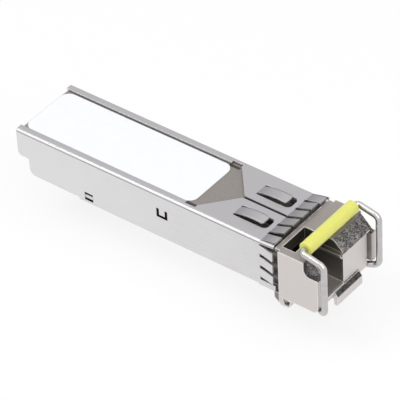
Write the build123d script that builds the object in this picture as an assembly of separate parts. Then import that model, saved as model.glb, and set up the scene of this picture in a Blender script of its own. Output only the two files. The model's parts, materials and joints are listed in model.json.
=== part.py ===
from build123d import *
import math
import os

# A plug-in optical module for a network port: a folded steel shell round a die-cast
# housing, one fibre port in the nose, and a wire bail that works a release latch.
# Frame: X runs from the board end (0) to the nose, Y across, Z up from the underside.
# All sizes are millimetres.

# Overall envelope, set by the cage the module slides into
MODULE_LENGTH = 56.5
REAR_WIDTH = 13.4
MODULE_HEIGHT = 8.5
NOSE_OVERHANG = 0.45
NOSE_WIDTH = REAR_WIDTH + 2 * NOSE_OVERHANG
NOSE_LENGTH = 7.1
NOSE_START = MODULE_LENGTH - NOSE_LENGTH

# Folded sheet shell
SHEET = 0.3
SHELL_FOLD_RADIUS = 0.5
SHELL_SETBACK = 10.75
SHELL_FRONT = MODULE_LENGTH - SHELL_SETBACK
SHEET_GAP = 0.03
RAIL_WIDTH = 1.25
RAIL_INNER_Y = REAR_WIDTH / 2 - RAIL_WIDTH
NOTCH_TIP_SETBACK = 18.35
NOTCH_TIP_X = MODULE_LENGTH - NOTCH_TIP_SETBACK
NOTCH_FOOT_SETBACK = 23.0
NOTCH_FOOT_X = MODULE_LENGTH - NOTCH_FOOT_SETBACK
SEAM_WIDTH = 0.26
RAIL_RELIEF_LENGTH = 1.9
RAIL_RELIEF_WIDTH = 0.5
WEB_START = 11.9
WEB_SETBACK = 15.1
WEB_END = MODULE_LENGTH - WEB_SETBACK
SKIRT_LIFT = 0.7
SKIRT_SHOULDER_Z = 3.6
SKIRT_SHOULDER_X = 2.1
SKIRT_STEP_LENGTH = 0.25

# Grounding fingers cut in the front edge of the shell
FINGER_LENGTH = 2.75
FINGER_SLOT = 0.62
TOP_FINGERS = 6
FINGER_MARGIN = 0.1
TOP_FINGER_PITCH = (REAR_WIDTH - 2 * FINGER_MARGIN) / TOP_FINGERS
SIDE_FINGER_PITCH = 2.17
SIDE_FINGERS = 3
SIDE_FINGER_DROP = 0.9
SIDE_FINGER_TOP = MODULE_HEIGHT - SIDE_FINGER_DROP
TOP_FLARE = 0.95
EDGE_FLARE = 0.5
SIDE_FLARE = 0.55
FINGER_RECESS = 0.6
SIDE_RECESS = 0.4
FINGER_LAND = 0.85
COLLAR_INSET = 0.05
CORNER_TOP_WIDTH = 0.32
CORNER_SIDE_WIDTH = 0.6
CORNER_RISE = 0.45
CORNER_SPREAD = 0.25

# Leaf springs cut in the top
LEAF_SETBACK = 17.5
LEAF_START = MODULE_LENGTH - LEAF_SETBACK
LEAF_LENGTH = 5.25
LEAF_WIDTH = 1.75
LEAF_SLOT = 0.38
LEAF_END_GAP = 0.8
LEAF_CORNER = 0.4
LEAF_CENTRE_Y = 2.85
LEAF_CREST = 0.62
LEAF_TIP_RISE = 0.5
LEAF_CREST_PLACE = 0.62
LEAF_POCKET_DEPTH = 1.15

# Bridge lance and hooked slit in each side
LANCE_START = 12.8
LANCE_LENGTH = 1.6
LANCE_LOW_Z = 0.75
LANCE_HIGH_Z = 2.2
LANCE_SLIT = 0.25
LANCE_INSET = 0.2
HOOK_START = 26.8
HOOK_LENGTH = 1.85
HOOK_LOW_Z = 4.15
HOOK_HEIGHT = 1.5
HOOK_SLIT = 0.32

# Die-cast housing
DECK_DROP = 0.45
DECK_TOP = MODULE_HEIGHT - DECK_DROP
DECK_THICKNESS = 0.8
DECK_START = 0.12
SIDE_WALL = 0.67
SHOULDER_ABOVE_BOARD = 2.0
CONNECTOR_DEPTH = 10.5
NECK_SETBACK = 17.9
NECK_START = MODULE_LENGTH - NECK_SETBACK
CAST_EDGE_RADIUS = 0.25
WALL_LIFT = 0.36
FRONT_CHAMFER = 2.1
NOSE_CORNER_RADIUS = 1.1
RIDGE_RADIUS = 0.7
CHEEK_NOTCH_SETBACK = 2.5
CHEEK_NOTCH_X = MODULE_LENGTH - CHEEK_NOTCH_SETBACK
CHEEK_NOTCH_DROP = 2.38
CHEEK_NOTCH_Z = MODULE_HEIGHT - CHEEK_NOTCH_DROP
CHEEK_NOTCH_RADIUS = 1.1
CHEEK_SKIN = 0.5
NOSE_WALL = 0.9
BLANK_FACE_SETBACK = 0.2
BLANK_FACE_X = MODULE_LENGTH - BLANK_FACE_SETBACK
BLANK_EDGE_INSET = 1.5
BLANK_EDGE_Y = NOSE_WIDTH / 2 - BLANK_EDGE_INSET
BLANK_EDGE_RADIUS = 0.6
GROOVE_DEPTH = 2.0

# Fibre port
PORT_INSET = 3.6
PORT_OFFSET_Y = PORT_INSET - REAR_WIDTH / 2
PORT_AXIS_Z = 3.92
PORT_WIDTH = 5.0
PORT_HEIGHT = 4.86
PORT_DEPTH = 9.5
PORT_END_X = MODULE_LENGTH - PORT_DEPTH
PORT_END_WALL = 0.6
CATCH_SETBACK = 7.2
CATCH_START_X = MODULE_LENGTH - CATCH_SETBACK
CATCH_LENGTH = 2.3
CATCH_WIDTH = 5.4
PORT_MOUTH_DEPTH = 3.3
PORT_MOUTH_X = MODULE_LENGTH - PORT_MOUTH_DEPTH
THUMB_SLOT = 2.35
LEDGE_THICKNESS = 0.42
LEDGE_WIDTH = 0.65
ROOF_SKIN = 0.6

# Wire bail
WIRE_RADIUS = 0.5
BAIL_LEG_INSET = 0.35
BAIL_LEG_Y = NOSE_WIDTH / 2 - BAIL_LEG_INSET
BAIL_REACH = 0.9
BAIL_FRONT_X = MODULE_LENGTH + BAIL_REACH
BAIL_BAR_SETBACK = 3.0
BAIL_BAR_X = MODULE_LENGTH - BAIL_BAR_SETBACK
BAIL_BAR_RISE = 1.55
BAIL_BAR_Z = MODULE_HEIGHT + BAIL_BAR_RISE
BAIL_BEND_RADIUS = 1.0
BAIL_BAR_BEND = 0.65
BAIL_SHOULDER_RISE = 0.7
BAIL_SHOULDER_Z = MODULE_HEIGHT + BAIL_SHOULDER_RISE
BAIL_FOOT_Z = 0.08
BAIL_WALL_GAP = 0.15
BAIL_LOW_Y = NOSE_WIDTH / 2 - NOSE_WALL - WIRE_RADIUS - BAIL_WALL_GAP
BAIL_JOG_SETBACK = 1.6
BAIL_JOG_X = MODULE_LENGTH - BAIL_JOG_SETBACK
BAIL_JOINT_GAP = 0.04
SLEEVE_RADIUS = 1.1
SLEEVE_END_GAP = 0.9
SLEEVE_LENGTH = 2 * (BAIL_LEG_Y - SLEEVE_END_GAP)
SLEEVE_BEVEL = 0.12

# Bail hinge and its cranked middle
HINGE_SETBACK = 5.7
HINGE_X = MODULE_LENGTH - HINGE_SETBACK
HINGE_Z = -0.35
CRANK_THROW = 0.36
CRANK_ANGLE = 45.0
CRANK_INSET = 4.1
CRANK_HALF_WIDTH = NOSE_WIDTH / 2 - CRANK_INSET
CRANK_JOG = 0.75
CRANK_LUG_GAP = 0.85
LUG_INNER_Y = CRANK_HALF_WIDTH + CRANK_LUG_GAP
LUG_WIDTH = 0.75
LUG_HALF_LENGTH = 0.95
LUG_DROP = 1.1
HINGE_CLEARANCE = 0.04
SNAP_MOUTH = 0.8
LEG_CHANNEL_TOP = 0.78
LEG_CLEARANCE = 0.06
JOG_SKIN = 0.25
EAR_DROP = 1.5
EAR_SETBACK = 7.9
EAR_START = MODULE_LENGTH - EAR_SETBACK
EAR_END_SETBACK = 4.75
EAR_END = MODULE_LENGTH - EAR_END_SETBACK

# Release lever under the nose
LATCH_WIDTH = 2 * CRANK_HALF_WIDTH
LATCH_SIDE_GAP = 0.1
LATCH_LENGTH = 14.3
LATCH_END_X = MODULE_LENGTH - LATCH_LENGTH
LATCH_THICKNESS = 0.45
LATCH_PIVOT_SETBACK = 8.3
LATCH_PIVOT_X = MODULE_LENGTH - LATCH_PIVOT_SETBACK
LATCH_PIVOT_Z = 0.5
PIVOT_RADIUS = 0.35
PIVOT_HUB = 0.62
PIVOT_CLEARANCE = 0.03
BOSS_SETBACK = 11.5
BOSS_SHOULDER_X = MODULE_LENGTH - BOSS_SETBACK
BOSS_LENGTH = 2.6
BOSS_WIDTH = 2.6
BOSS_HEIGHT = 0.45
CRANK_GAP = 0.08
DIP_HALF_LENGTH = 0.95
DIP_RUN = 0.85
TAB_REACH = 0.5
TAB_FACE_X = MODULE_LENGTH + TAB_REACH
TAB_TOP_Z = 1.3
TAB_EDGE_Z = 0.5
TAB_LOW_Z = -1.05
TAB_DEPTH = 0.68
LATCH_CAVITY_TOP = 0.75
LATCH_SWING_TOP = 1.68
LATCH_RISE_ROOM = 0.2
HUB_RELIEF = 0.1
SPRING_SETBACK = 13.9
SPRING_START = MODULE_LENGTH - SPRING_SETBACK
SPRING_END_SETBACK = 10.6
SPRING_END = MODULE_LENGTH - SPRING_END_SETBACK
SPRING_TOP_Z = 2.35
SPRING_WIDTH = 1.2
SPRING_SHEET = 0.12
SPRING_BEND = 0.3
SPRING_GAP = 0.1
SPRING_WALL = 0.35

# Circuit board
BOARD_START = 3.2
BOARD_SETBACK = 23.3
BOARD_END = MODULE_LENGTH - BOARD_SETBACK
BOARD_BOTTOM = 2.25
BOARD_THICKNESS = 1.0
EDGE_LENGTH = 6.6
BOARD_SIDE_ROOM = 1.1
BOARD_WIDTH = REAR_WIDTH - 2 * BOARD_SIDE_ROOM
EDGE_SHOULDER = 1.0
EDGE_WIDTH = BOARD_WIDTH - 2 * EDGE_SHOULDER
PAD_PITCH = 0.8
PADS_PER_SIDE = 10
PAD_WIDTH = 0.56
PAD_LENGTH = 3.0
PAD_THICKNESS = 0.05
PAD_SETBACK = 0.25
PEG_RADIUS = 0.5
PEG_CLEARANCE = 0.05
PEG_INSET = 1.0
PEG_Y = BOARD_WIDTH / 2 - PEG_INSET
PEG_START = 12.6
PEG_SETBACK = 5.0
PEG_ROWS = (PEG_START, BOARD_END - PEG_SETBACK)
CHIP_SIZE = 3.0
CHIP_HEIGHT = 0.75
CHIP_Y = 2.2
DRIVER_SETBACK = 5.8
DRIVER_PLACE = (BOARD_END - DRIVER_SETBACK, -CHIP_Y)
AMPLIFIER_SETBACK = 6.6
AMPLIFIER_PLACE = (BOARD_END - AMPLIFIER_SETBACK, CHIP_Y)
CONTROLLER_Y = 2.6
CONTROLLER_SIZE = 4.0
CONTROLLER_HEIGHT = 0.85
CONTROLLER_SHARE = 0.653
MEMORY_SETBACK = 15.7
MEMORY_PLACE = (BOARD_END - MEMORY_SETBACK, -CHIP_Y)
MEMORY_SIZE = 2.0
MEMORY_HEIGHT = 0.6
CAPACITOR_EDGE_ROOM = 1.2
CAPACITOR_MIDDLE_Y = 0.2
CAPACITOR_ROWS = (CAPACITOR_EDGE_ROOM - BOARD_WIDTH / 2, CAPACITOR_MIDDLE_Y)
CAPACITORS_PER_ROW = 5
CAPACITOR_START = 15.2
CAPACITOR_PITCH = (PEG_ROWS[1] - CAPACITOR_START) / (CAPACITORS_PER_ROW + 0.9)
CAPACITOR_LENGTH = 1.0
CAPACITOR_WIDTH = 0.5
INDUCTORS = 3
INDUCTOR_START = 9.2
INDUCTOR_LENGTH = 1.6
INDUCTOR_WIDTH = 0.8
INDUCTOR_PITCH = 1.7
REST_HALF_LENGTH = 1.0
REST_WIDTH = 1.8

# Optical sub-assembly, all on the fibre port's axis
BODY_SETBACK = 20.5
BODY_START = MODULE_LENGTH - BODY_SETBACK
BODY_LENGTH = 5.5
BODY_SIZE = 4.9
LIGHT_BORE = 1.0
CAN_RADIUS = 1.8
CAN_CLEARANCE = 0.04
CAN_DEPTH = 0.8
HEADER_RADIUS = 2.3
HEADER_THICKNESS = 1.0
LEAD_RADIUS = 0.2
LEAD_RING = 1.0
LEAD_LENGTH = 1.15
LEAD_CLEARANCE = 0.01
FLEX_THICKNESS = 0.12
FLEX_WIDTH = 3.4
FILTER_THICKNESS = 0.2
FILTER_SIZE = 2.8
BARREL_REAR_RADIUS = 1.7
BARREL_REAR_LENGTH = 3.1
FLANGE_RADIUS = 2.3
FLANGE_LENGTH = 1.2
BARREL_RADIUS = 1.45
BARREL_TIP_SETBACK = 5.5
BARREL_TIP_X = MODULE_LENGTH - BARREL_TIP_SETBACK
BARREL_LIP = 0.5
FERRULE_RADIUS = 0.625
FERRULE_SLEEVE_RADIUS = 0.8
FERRULE_SLEEVE_LENGTH = 4.2
SLEEVE_SLIT = 0.12
LIP_CLEARANCE = 0.06
STUB_WINDOW = 0.4
STUB_LENGTH = 2.0
GASKET_RADIUS = 2.2
GASKET_CLEARANCE = 0.02

# Label
LABEL_START = 0.25
LABEL_SETBACK = 24.2
LABEL_END = MODULE_LENGTH - LABEL_SETBACK
LABEL_SIDE_GAP = 0.3
LABEL_HALF_WIDTH = RAIL_INNER_Y - LABEL_SIDE_GAP
LABEL_RADIUS = 1.5
LABEL_THICKNESS = 0.1

# Values worked out from the sizes above
HALF_REAR = REAR_WIDTH / 2
HALF_NOSE = NOSE_WIDTH / 2
CAST_HALF = HALF_REAR - SHEET - SHEET_GAP
INNER_HALF = HALF_REAR - SIDE_WALL - SHEET
REST_END = PEG_START + REST_HALF_LENGTH
CONTROLLER_ROOM = AMPLIFIER_PLACE[0] - CHIP_SIZE / 2 - REST_END - CONTROLLER_SIZE
CONTROLLER_X = REST_END + CONTROLLER_SHARE * CONTROLLER_ROOM + CONTROLLER_SIZE / 2
ROOF_UNDERSIDE = MODULE_HEIGHT - SHEET - SHEET_GAP
DECK_UNDERSIDE = DECK_TOP - DECK_THICKNESS
BOARD_TOP = BOARD_BOTTOM + BOARD_THICKNESS
SHOULDER_Z = BOARD_TOP + SHOULDER_ABOVE_BOARD
PORT_FLOOR = PORT_AXIS_Z - PORT_HEIGHT / 2
PORT_ROOF = PORT_AXIS_Z + PORT_HEIGHT / 2
PORT_LOW_Y = PORT_OFFSET_Y - PORT_WIDTH / 2
PORT_HIGH_Y = PORT_OFFSET_Y + PORT_WIDTH / 2
CATCH_END_X = CATCH_START_X + CATCH_LENGTH
RIDGE_X = MODULE_LENGTH - FRONT_CHAMFER
PORT_WALL_X = PORT_END_X - PORT_END_WALL
HALF_LATCH = LATCH_WIDTH / 2
CAVITY_HALF = HALF_LATCH + LATCH_SIDE_GAP
LEG_CHANNEL_INNER = BAIL_LOW_Y - WIRE_RADIUS - LEG_CLEARANCE
LEG_CHANNEL_OUTER = HALF_NOSE - NOSE_WALL
CRANK_X = HINGE_X + CRANK_THROW * math.cos(math.radians(CRANK_ANGLE))
CRANK_Z = HINGE_Z + CRANK_THROW * math.sin(math.radians(CRANK_ANGLE))
DIP_TOP = CRANK_Z - WIRE_RADIUS - CRANK_GAP
BODY_END = BODY_START + BODY_LENGTH
BODY_MID_X = BODY_START + BODY_LENGTH / 2
FLANGE_START = BODY_END + BARREL_REAR_LENGTH
FLANGE_END = FLANGE_START + FLANGE_LENGTH
OPTIC_SIDE_Y = PORT_OFFSET_Y + BODY_SIZE / 2
SLEEVE_END = BARREL_TIP_X - BARREL_LIP
SLEEVE_START = SLEEVE_END - FERRULE_SLEEVE_LENGTH
STUB_START = SLEEVE_START - STUB_LENGTH
RETAINER_START = BODY_END + 0.1
RETAINER_END = PORT_WALL_X - 0.03
RETAINER_TOP = PORT_AXIS_Z - BARREL_REAR_RADIUS - 0.05
BEYOND = 2.0


def block(x0, x1, y0, y1, z0, z1):
    """Return a box between two opposite corners."""
    centre = Pos((x0 + x1) / 2, (y0 + y1) / 2, (z0 + z1) / 2)
    return centre * Box(x1 - x0, y1 - y0, z1 - z0)


def both_sides(shape):
    """Return a shape together with its mirror image across the middle plane."""
    return [shape, mirror(shape, about=Plane.XZ)]


def side_profile(corners, y0, y1):
    """Extrude an outline of (x, z, corner radius) across from y0 to y1."""
    points = [(x, z) for x, z, _ in corners]
    radii = [radius for _, _, radius in corners]
    edge = FilletPolyline(*points, radius=radii, close=True)
    return extrude(Plane.XZ.offset(-y1) * make_face(edge), amount=y1 - y0)


def plan_profile(corners, z0, z1):
    """Extrude an outline of (x, y, corner radius) upwards from z0 to z1."""
    points = [(x, y) for x, y, _ in corners]
    radii = [radius for _, _, radius in corners]
    edge = FilletPolyline(*points, radius=radii, close=True)
    return extrude(Plane.XY.offset(z0) * make_face(edge), amount=z1 - z0)


def rod_x(radius, x0, x1, y, z):
    """Return a round bar along X."""
    return Pos((x0 + x1) / 2, y, z) * Rot(0, 90, 0) * Cylinder(radius, x1 - x0)


def rod_y(radius, y0, y1, x, z):
    """Return a round bar along Y."""
    return Pos(x, (y0 + y1) / 2, z) * Rot(90, 0, 0) * Cylinder(radius, y1 - y0)


def rod_z(radius, z0, z1, x, y):
    """Return a round bar along Z."""
    return Pos(x, y, (z0 + z1) / 2) * Cylinder(radius, z1 - z0)


def folded_tube():
    """Return the shell's folded section, before any opening is cut."""
    middle = Pos(0, MODULE_HEIGHT / 2)
    outer = middle * RectangleRounded(REAR_WIDTH, MODULE_HEIGHT, SHELL_FOLD_RADIUS)
    inner = middle * RectangleRounded(
        REAR_WIDTH - 2 * SHEET, MODULE_HEIGHT - 2 * SHEET, SHELL_FOLD_RADIUS - SHEET
    )
    return extrude(Plane.YZ * (outer - inner), amount=SHELL_FRONT)


def skirt_outline():
    """Return the shell's side view, with the stepped and rounded board end."""
    return side_profile(
        [
            (0, MODULE_HEIGHT + BEYOND, 0),
            (0, SKIRT_SHOULDER_Z, 0.8),
            (SKIRT_SHOULDER_X, SKIRT_SHOULDER_Z, 0.3),
            (SKIRT_SHOULDER_X, SKIRT_LIFT, 1.2),
            (WEB_START - SKIRT_STEP_LENGTH, SKIRT_LIFT, 0),
            (WEB_START, 0, 0),
            (WEB_START, -BEYOND, 0),
            (MODULE_LENGTH, -BEYOND, 0),
            (MODULE_LENGTH, MODULE_HEIGHT + BEYOND, 0),
        ],
        -HALF_REAR - BEYOND,
        HALF_REAR + BEYOND,
    )


def top_opening():
    """Return the window between the rails, which ends in a V towards the nose."""
    return plan_profile(
        [
            (-BEYOND, -RAIL_INNER_Y, 0),
            (NOTCH_FOOT_X, -RAIL_INNER_Y, 0),
            (NOTCH_TIP_X, 0, 0),
            (NOTCH_FOOT_X, RAIL_INNER_Y, 0),
            (-BEYOND, RAIL_INNER_Y, 0),
        ],
        ROOF_UNDERSIDE,
        MODULE_HEIGHT + BEYOND,
    )


def leaf_outline(centre_y, margin, length, z0, z1):
    """Return the plan of one leaf, grown by a margin at its sides and rounded at its tip."""
    half = LEAF_WIDTH / 2 + margin
    end = LEAF_START + length
    return plan_profile(
        [
            (LEAF_START, centre_y - half, 0.15),
            (end, centre_y - half, LEAF_CORNER + margin),
            (end, centre_y + half, LEAF_CORNER + margin),
            (LEAF_START, centre_y + half, 0.15),
        ],
        z0,
        z1,
    )


def leaf_opening(centre_y, low):
    """Return the window round one leaf, down to a given height."""
    length = LEAF_LENGTH + LEAF_END_GAP
    return leaf_outline(centre_y, LEAF_SLOT, length, low, MODULE_HEIGHT + BEYOND)


def leaf_spring(centre_y):
    """Return one leaf, rooted at its board end, bowed up and dropping at its tip."""
    low = MODULE_HEIGHT - SHEET
    root_x = LEAF_START - SHEET
    crest_x = LEAF_START + LEAF_LENGTH * LEAF_CREST_PLACE
    end_x = LEAF_START + LEAF_LENGTH
    side_view = [
        Line((root_x, MODULE_HEIGHT), (LEAF_START, MODULE_HEIGHT)),
        ThreePointArc(
            (LEAF_START, MODULE_HEIGHT),
            (crest_x, MODULE_HEIGHT + LEAF_CREST),
            (end_x, MODULE_HEIGHT + LEAF_TIP_RISE),
        ),
        Line((end_x, MODULE_HEIGHT + LEAF_TIP_RISE), (end_x, low + LEAF_TIP_RISE)),
        ThreePointArc(
            (end_x, low + LEAF_TIP_RISE), (crest_x, low + LEAF_CREST), (LEAF_START, low)
        ),
        Line((LEAF_START, low), (root_x, low)),
        Line((root_x, low), (root_x, MODULE_HEIGHT)),
    ]
    plane = Plane.XZ.offset(-(centre_y + LEAF_WIDTH / 2))
    leaf = extrude(plane * make_face(side_view), amount=LEAF_WIDTH)
    top = MODULE_HEIGHT + BEYOND
    root = block(
        root_x,
        LEAF_START + LEAF_CORNER,
        centre_y - LEAF_WIDTH / 2,
        centre_y + LEAF_WIDTH / 2,
        low,
        top,
    )
    return leaf & (root + leaf_outline(centre_y, 0, LEAF_LENGTH, low, top))


def finger_section(rise):
    """Return the side view of one grounding finger that leans out by rise."""
    root = SHELL_FRONT - SHEET
    bend = SHELL_FRONT + FINGER_LENGTH * 0.3
    tip = SHELL_FRONT + FINGER_LENGTH
    return [
        (root, 0, 0),
        (SHELL_FRONT, 0, 0.6),
        (bend, rise * 0.25, 0.6),
        (tip, rise, 0),
        (tip - SHEET * 0.2, rise + SHEET, 0),
        (bend, rise * 0.25 + SHEET, 0.6),
        (SHELL_FRONT, SHEET, 0.6),
        (root, SHEET, 0),
    ]


def top_fingers():
    """Return the grounding fingers of the top edge."""
    fingers = []
    width = TOP_FINGER_PITCH - FINGER_SLOT
    for index in range(TOP_FINGERS):
        centre = (index - (TOP_FINGERS - 1) / 2) * TOP_FINGER_PITCH
        edge = index in (0, TOP_FINGERS - 1)
        rise = EDGE_FLARE if edge else TOP_FLARE
        lift = MODULE_HEIGHT - SHEET
        section = [(x, z + lift, r) for x, z, r in finger_section(rise)]
        fingers.append(side_profile(section, centre - width / 2, centre + width / 2))
    return fingers


def corner_fingers():
    """Return the two strips of folded edge that lean out between the finger rows."""
    middle = Pos(0, MODULE_HEIGHT / 2)
    outer = middle * RectangleRounded(REAR_WIDTH, MODULE_HEIGHT, SHELL_FOLD_RADIUS)
    inner = middle * RectangleRounded(
        REAR_WIDTH - 2 * SHEET, MODULE_HEIGHT - 2 * SHEET, SHELL_FOLD_RADIUS - SHEET
    )
    corner = Pos(HALF_REAR, MODULE_HEIGHT) * Rectangle(
        2 * CORNER_TOP_WIDTH, 2 * CORNER_SIDE_WIDTH
    )
    section = Plane.YZ.offset(SHELL_FRONT - 0.01) * ((outer - inner) & corner)
    lean = (FINGER_LENGTH, CORNER_SPREAD, CORNER_RISE)
    return both_sides(extrude(section, amount=Vector(lean).length, dir=lean))


def side_fingers():
    """Return the grounding fingers and the plain lower strip of both side edges."""
    fingers = []
    width = SIDE_FINGER_PITCH - FINGER_SLOT
    for index in range(SIDE_FINGERS):
        top = SIDE_FINGER_TOP - index * SIDE_FINGER_PITCH
        section = finger_section(SIDE_FLARE)
        lift = HALF_REAR - SHEET
        outline = [(x, out + lift, r) for x, out, r in section]
        fingers += both_sides(plan_profile(outline, top - width, top))
    strip_top = SIDE_FINGER_TOP - SIDE_FINGERS * SIDE_FINGER_PITCH
    strip = block(
        SHELL_FRONT - SHEET,
        SHELL_FRONT + FINGER_LENGTH,
        HALF_REAR - SHEET,
        HALF_REAR,
        0.1,
        strip_top,
    )
    return fingers + both_sides(strip)


def side_cuts():
    """Return the lance slits and the hooked slit of both side walls."""
    low, high = HALF_REAR - SHEET - BEYOND, HALF_REAR + BEYOND
    lance = block(
        LANCE_START, LANCE_START + LANCE_LENGTH, low, high, LANCE_LOW_Z, LANCE_HIGH_Z
    )
    hook_end = HOOK_START + HOOK_LENGTH
    hook_top = HOOK_LOW_Z + HOOK_HEIGHT
    hook = block(HOOK_START, hook_end, low, high, HOOK_LOW_Z, hook_top) - block(
        HOOK_START + HOOK_SLIT,
        hook_end - HOOK_SLIT,
        low,
        high,
        HOOK_LOW_Z + HOOK_SLIT,
        hook_top,
    )
    return both_sides(lance) + both_sides(hook)


def lance_bridges():
    """Return the strip between each pair of lance slits, pressed inwards."""
    strip = block(
        LANCE_START - SHEET,
        LANCE_START + LANCE_LENGTH + SHEET,
        HALF_REAR - SHEET - LANCE_INSET,
        HALF_REAR - LANCE_INSET,
        LANCE_LOW_Z + LANCE_SLIT,
        LANCE_HIGH_Z - LANCE_SLIT,
    )
    return both_sides(strip)


def make_shell():
    """Return the one-piece folded shell with rails, seam, leaves and fingers."""
    shell = folded_tube() & skirt_outline()
    shell -= top_opening()
    inside = HALF_REAR - SHEET
    for x0, x1 in ((-BEYOND, WEB_START), (WEB_END, SHELL_FRONT + BEYOND)):
        shell -= block(x0, x1, -inside, inside, -BEYOND, SHEET + 0.2)
    shell -= block(
        NOTCH_TIP_X - SEAM_WIDTH,
        SHELL_FRONT + BEYOND,
        -SEAM_WIDTH / 2,
        SEAM_WIDTH / 2,
        ROOF_UNDERSIDE,
        MODULE_HEIGHT + BEYOND,
    )
    relief = block(
        NOTCH_FOOT_X - RAIL_RELIEF_LENGTH,
        NOTCH_FOOT_X,
        RAIL_INNER_Y - SHEET,
        RAIL_INNER_Y + RAIL_RELIEF_WIDTH,
        ROOF_UNDERSIDE,
        MODULE_HEIGHT + BEYOND,
    )
    for cut in both_sides(relief) + side_cuts():
        shell -= cut
    for side in (-1, 1):
        shell -= leaf_opening(side * LEAF_CENTRE_Y, ROOF_UNDERSIDE)
    for side in (-1, 1):
        shell += leaf_spring(side * LEAF_CENTRE_Y)
    for strip in lance_bridges() + top_fingers() + corner_fingers() + side_fingers():
        shell += strip
    return shell


def casting_section():
    """Return the room inside the folded shell, rounded where the sheet is folded."""
    middle = (ROOF_UNDERSIDE + WALL_LIFT) / 2
    height = ROOF_UNDERSIDE - WALL_LIFT
    room = RectangleRounded(2 * CAST_HALF, height, CAST_EDGE_RADIUS)
    behind = extrude(Plane.YZ * Pos(0, middle) * room, amount=WEB_END)
    taller = RectangleRounded(2 * CAST_HALF, height + 2 * BEYOND, CAST_EDGE_RADIUS)
    lowered = Plane.YZ.offset(WEB_END) * Pos(0, middle - BEYOND)
    return behind + extrude(lowered * taller, amount=NOSE_START + SHEET - WEB_END)


def casting_side_walls():
    """Return the deck and side walls behind the nose as one solid, without hollows."""
    return side_profile(
        [
            (DECK_START, DECK_TOP, 0),
            (DECK_START, SHOULDER_Z - 1.2, 0.6),
            (SKIRT_SHOULDER_X + SHEET, SKIRT_SHOULDER_Z + SHEET, 0.3),
            (SKIRT_SHOULDER_X + SHEET, SKIRT_LIFT + SHEET, 1.0),
            (WEB_START, SKIRT_LIFT + SHEET, 0),
            (WEB_START + SHEET, WALL_LIFT, 0),
            (WEB_END, WALL_LIFT, 0),
            (WEB_END, 0, 0),
            (NOSE_START + SHEET, 0, 0),
            (NOSE_START + SHEET, ROOF_UNDERSIDE, 0),
            (NECK_START, ROOF_UNDERSIDE, 0),
            (NECK_START - SHEET, DECK_TOP, 0),
        ],
        -CAST_HALF,
        CAST_HALF,
    ) & casting_section()


def nose_block():
    """Return the nose outside the cage, with its sloping front edge and cheeks."""
    top = MODULE_HEIGHT
    nose = side_profile(
        [
            (NOSE_START, 0, 0),
            (MODULE_LENGTH, 0, NOSE_CORNER_RADIUS),
            (MODULE_LENGTH, top - FRONT_CHAMFER, 0.1),
            (RIDGE_X, top, RIDGE_RADIUS),
            (NOSE_START, top, 0.2),
        ],
        -HALF_NOSE,
        HALF_NOSE,
    )
    notch = side_profile(
        [
            (CHEEK_NOTCH_X, top + BEYOND, 0),
            (CHEEK_NOTCH_X, CHEEK_NOTCH_Z, CHEEK_NOTCH_RADIUS),
            (MODULE_LENGTH + BEYOND, CHEEK_NOTCH_Z, 0),
            (MODULE_LENGTH + BEYOND, top + BEYOND, 0),
        ],
        HALF_NOSE - CHEEK_SKIN,
        HALF_NOSE + BEYOND,
    )
    for cut in both_sides(notch):
        nose -= cut
    return nose


def blank_recess():
    """Return what is cut in front of and beside the blank half of the nose."""
    front = MODULE_LENGTH + BEYOND
    groove_end = MODULE_LENGTH - GROOVE_DEPTH
    return plan_profile(
        [
            (front, PORT_HIGH_Y - 0.1, 0),
            (BLANK_FACE_X, PORT_HIGH_Y - 0.1, 0),
            (BLANK_FACE_X, BLANK_EDGE_Y, BLANK_EDGE_RADIUS),
            (groove_end, BLANK_EDGE_Y, 0),
            (groove_end, LEG_CHANNEL_OUTER, 0),
            (front, LEG_CHANNEL_OUTER, 0),
        ],
        -BEYOND,
        RIDGE_X + MODULE_HEIGHT - BLANK_FACE_X,
    )


def finger_recesses():
    """Return the hollows of the casting under the shell's grounding fingers."""
    start = SHELL_FRONT - 0.15
    top = block(
        start,
        NOSE_START - FINGER_LAND,
        -HALF_REAR,
        HALF_REAR,
        ROOF_UNDERSIDE - FINGER_RECESS,
        MODULE_HEIGHT + BEYOND,
    )
    strip_top = SIDE_FINGER_TOP - SIDE_FINGERS * SIDE_FINGER_PITCH
    side = block(
        start,
        NOSE_START,
        CAST_HALF - SIDE_RECESS,
        HALF_REAR,
        strip_top + SHEET,
        SIDE_FINGER_TOP + SHEET,
    )
    return [top] + both_sides(side)


def ears():
    """Return the two rounded ears that guard the bail's hinge."""
    ear = side_profile(
        [
            (EAR_START, 0.6, 0),
            (EAR_START, -EAR_DROP * 0.3, 0.4),
            (EAR_START + 1.2, -EAR_DROP, 0.7),
            (EAR_END - 0.6, -EAR_DROP, 0.35),
            (EAR_END, 0, 0),
            (EAR_END, 0.6, 0),
        ],
        LEG_CHANNEL_OUTER,
        HALF_NOSE,
    )
    window = side_profile(
        [
            (HINGE_X - 0.75, -0.05, 0.1),
            (HINGE_X - 0.4, -EAR_DROP + 0.3, 0.1),
            (HINGE_X + 0.3, -EAR_DROP + 0.3, 0.1),
            (HINGE_X + 0.72, -0.05, 0.1),
        ],
        LEG_CHANNEL_OUTER - BEYOND,
        HALF_NOSE + BEYOND,
    )
    return both_sides(ear - window)


def hinge_lugs():
    """Return the snap lugs under the nose in which the bail turns."""
    outer = LUG_INNER_Y + LUG_WIDTH
    lug = block(
        HINGE_X - LUG_HALF_LENGTH,
        HINGE_X + LUG_HALF_LENGTH,
        LUG_INNER_Y,
        outer,
        -LUG_DROP,
        0.3,
    )
    return both_sides(lug)


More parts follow.
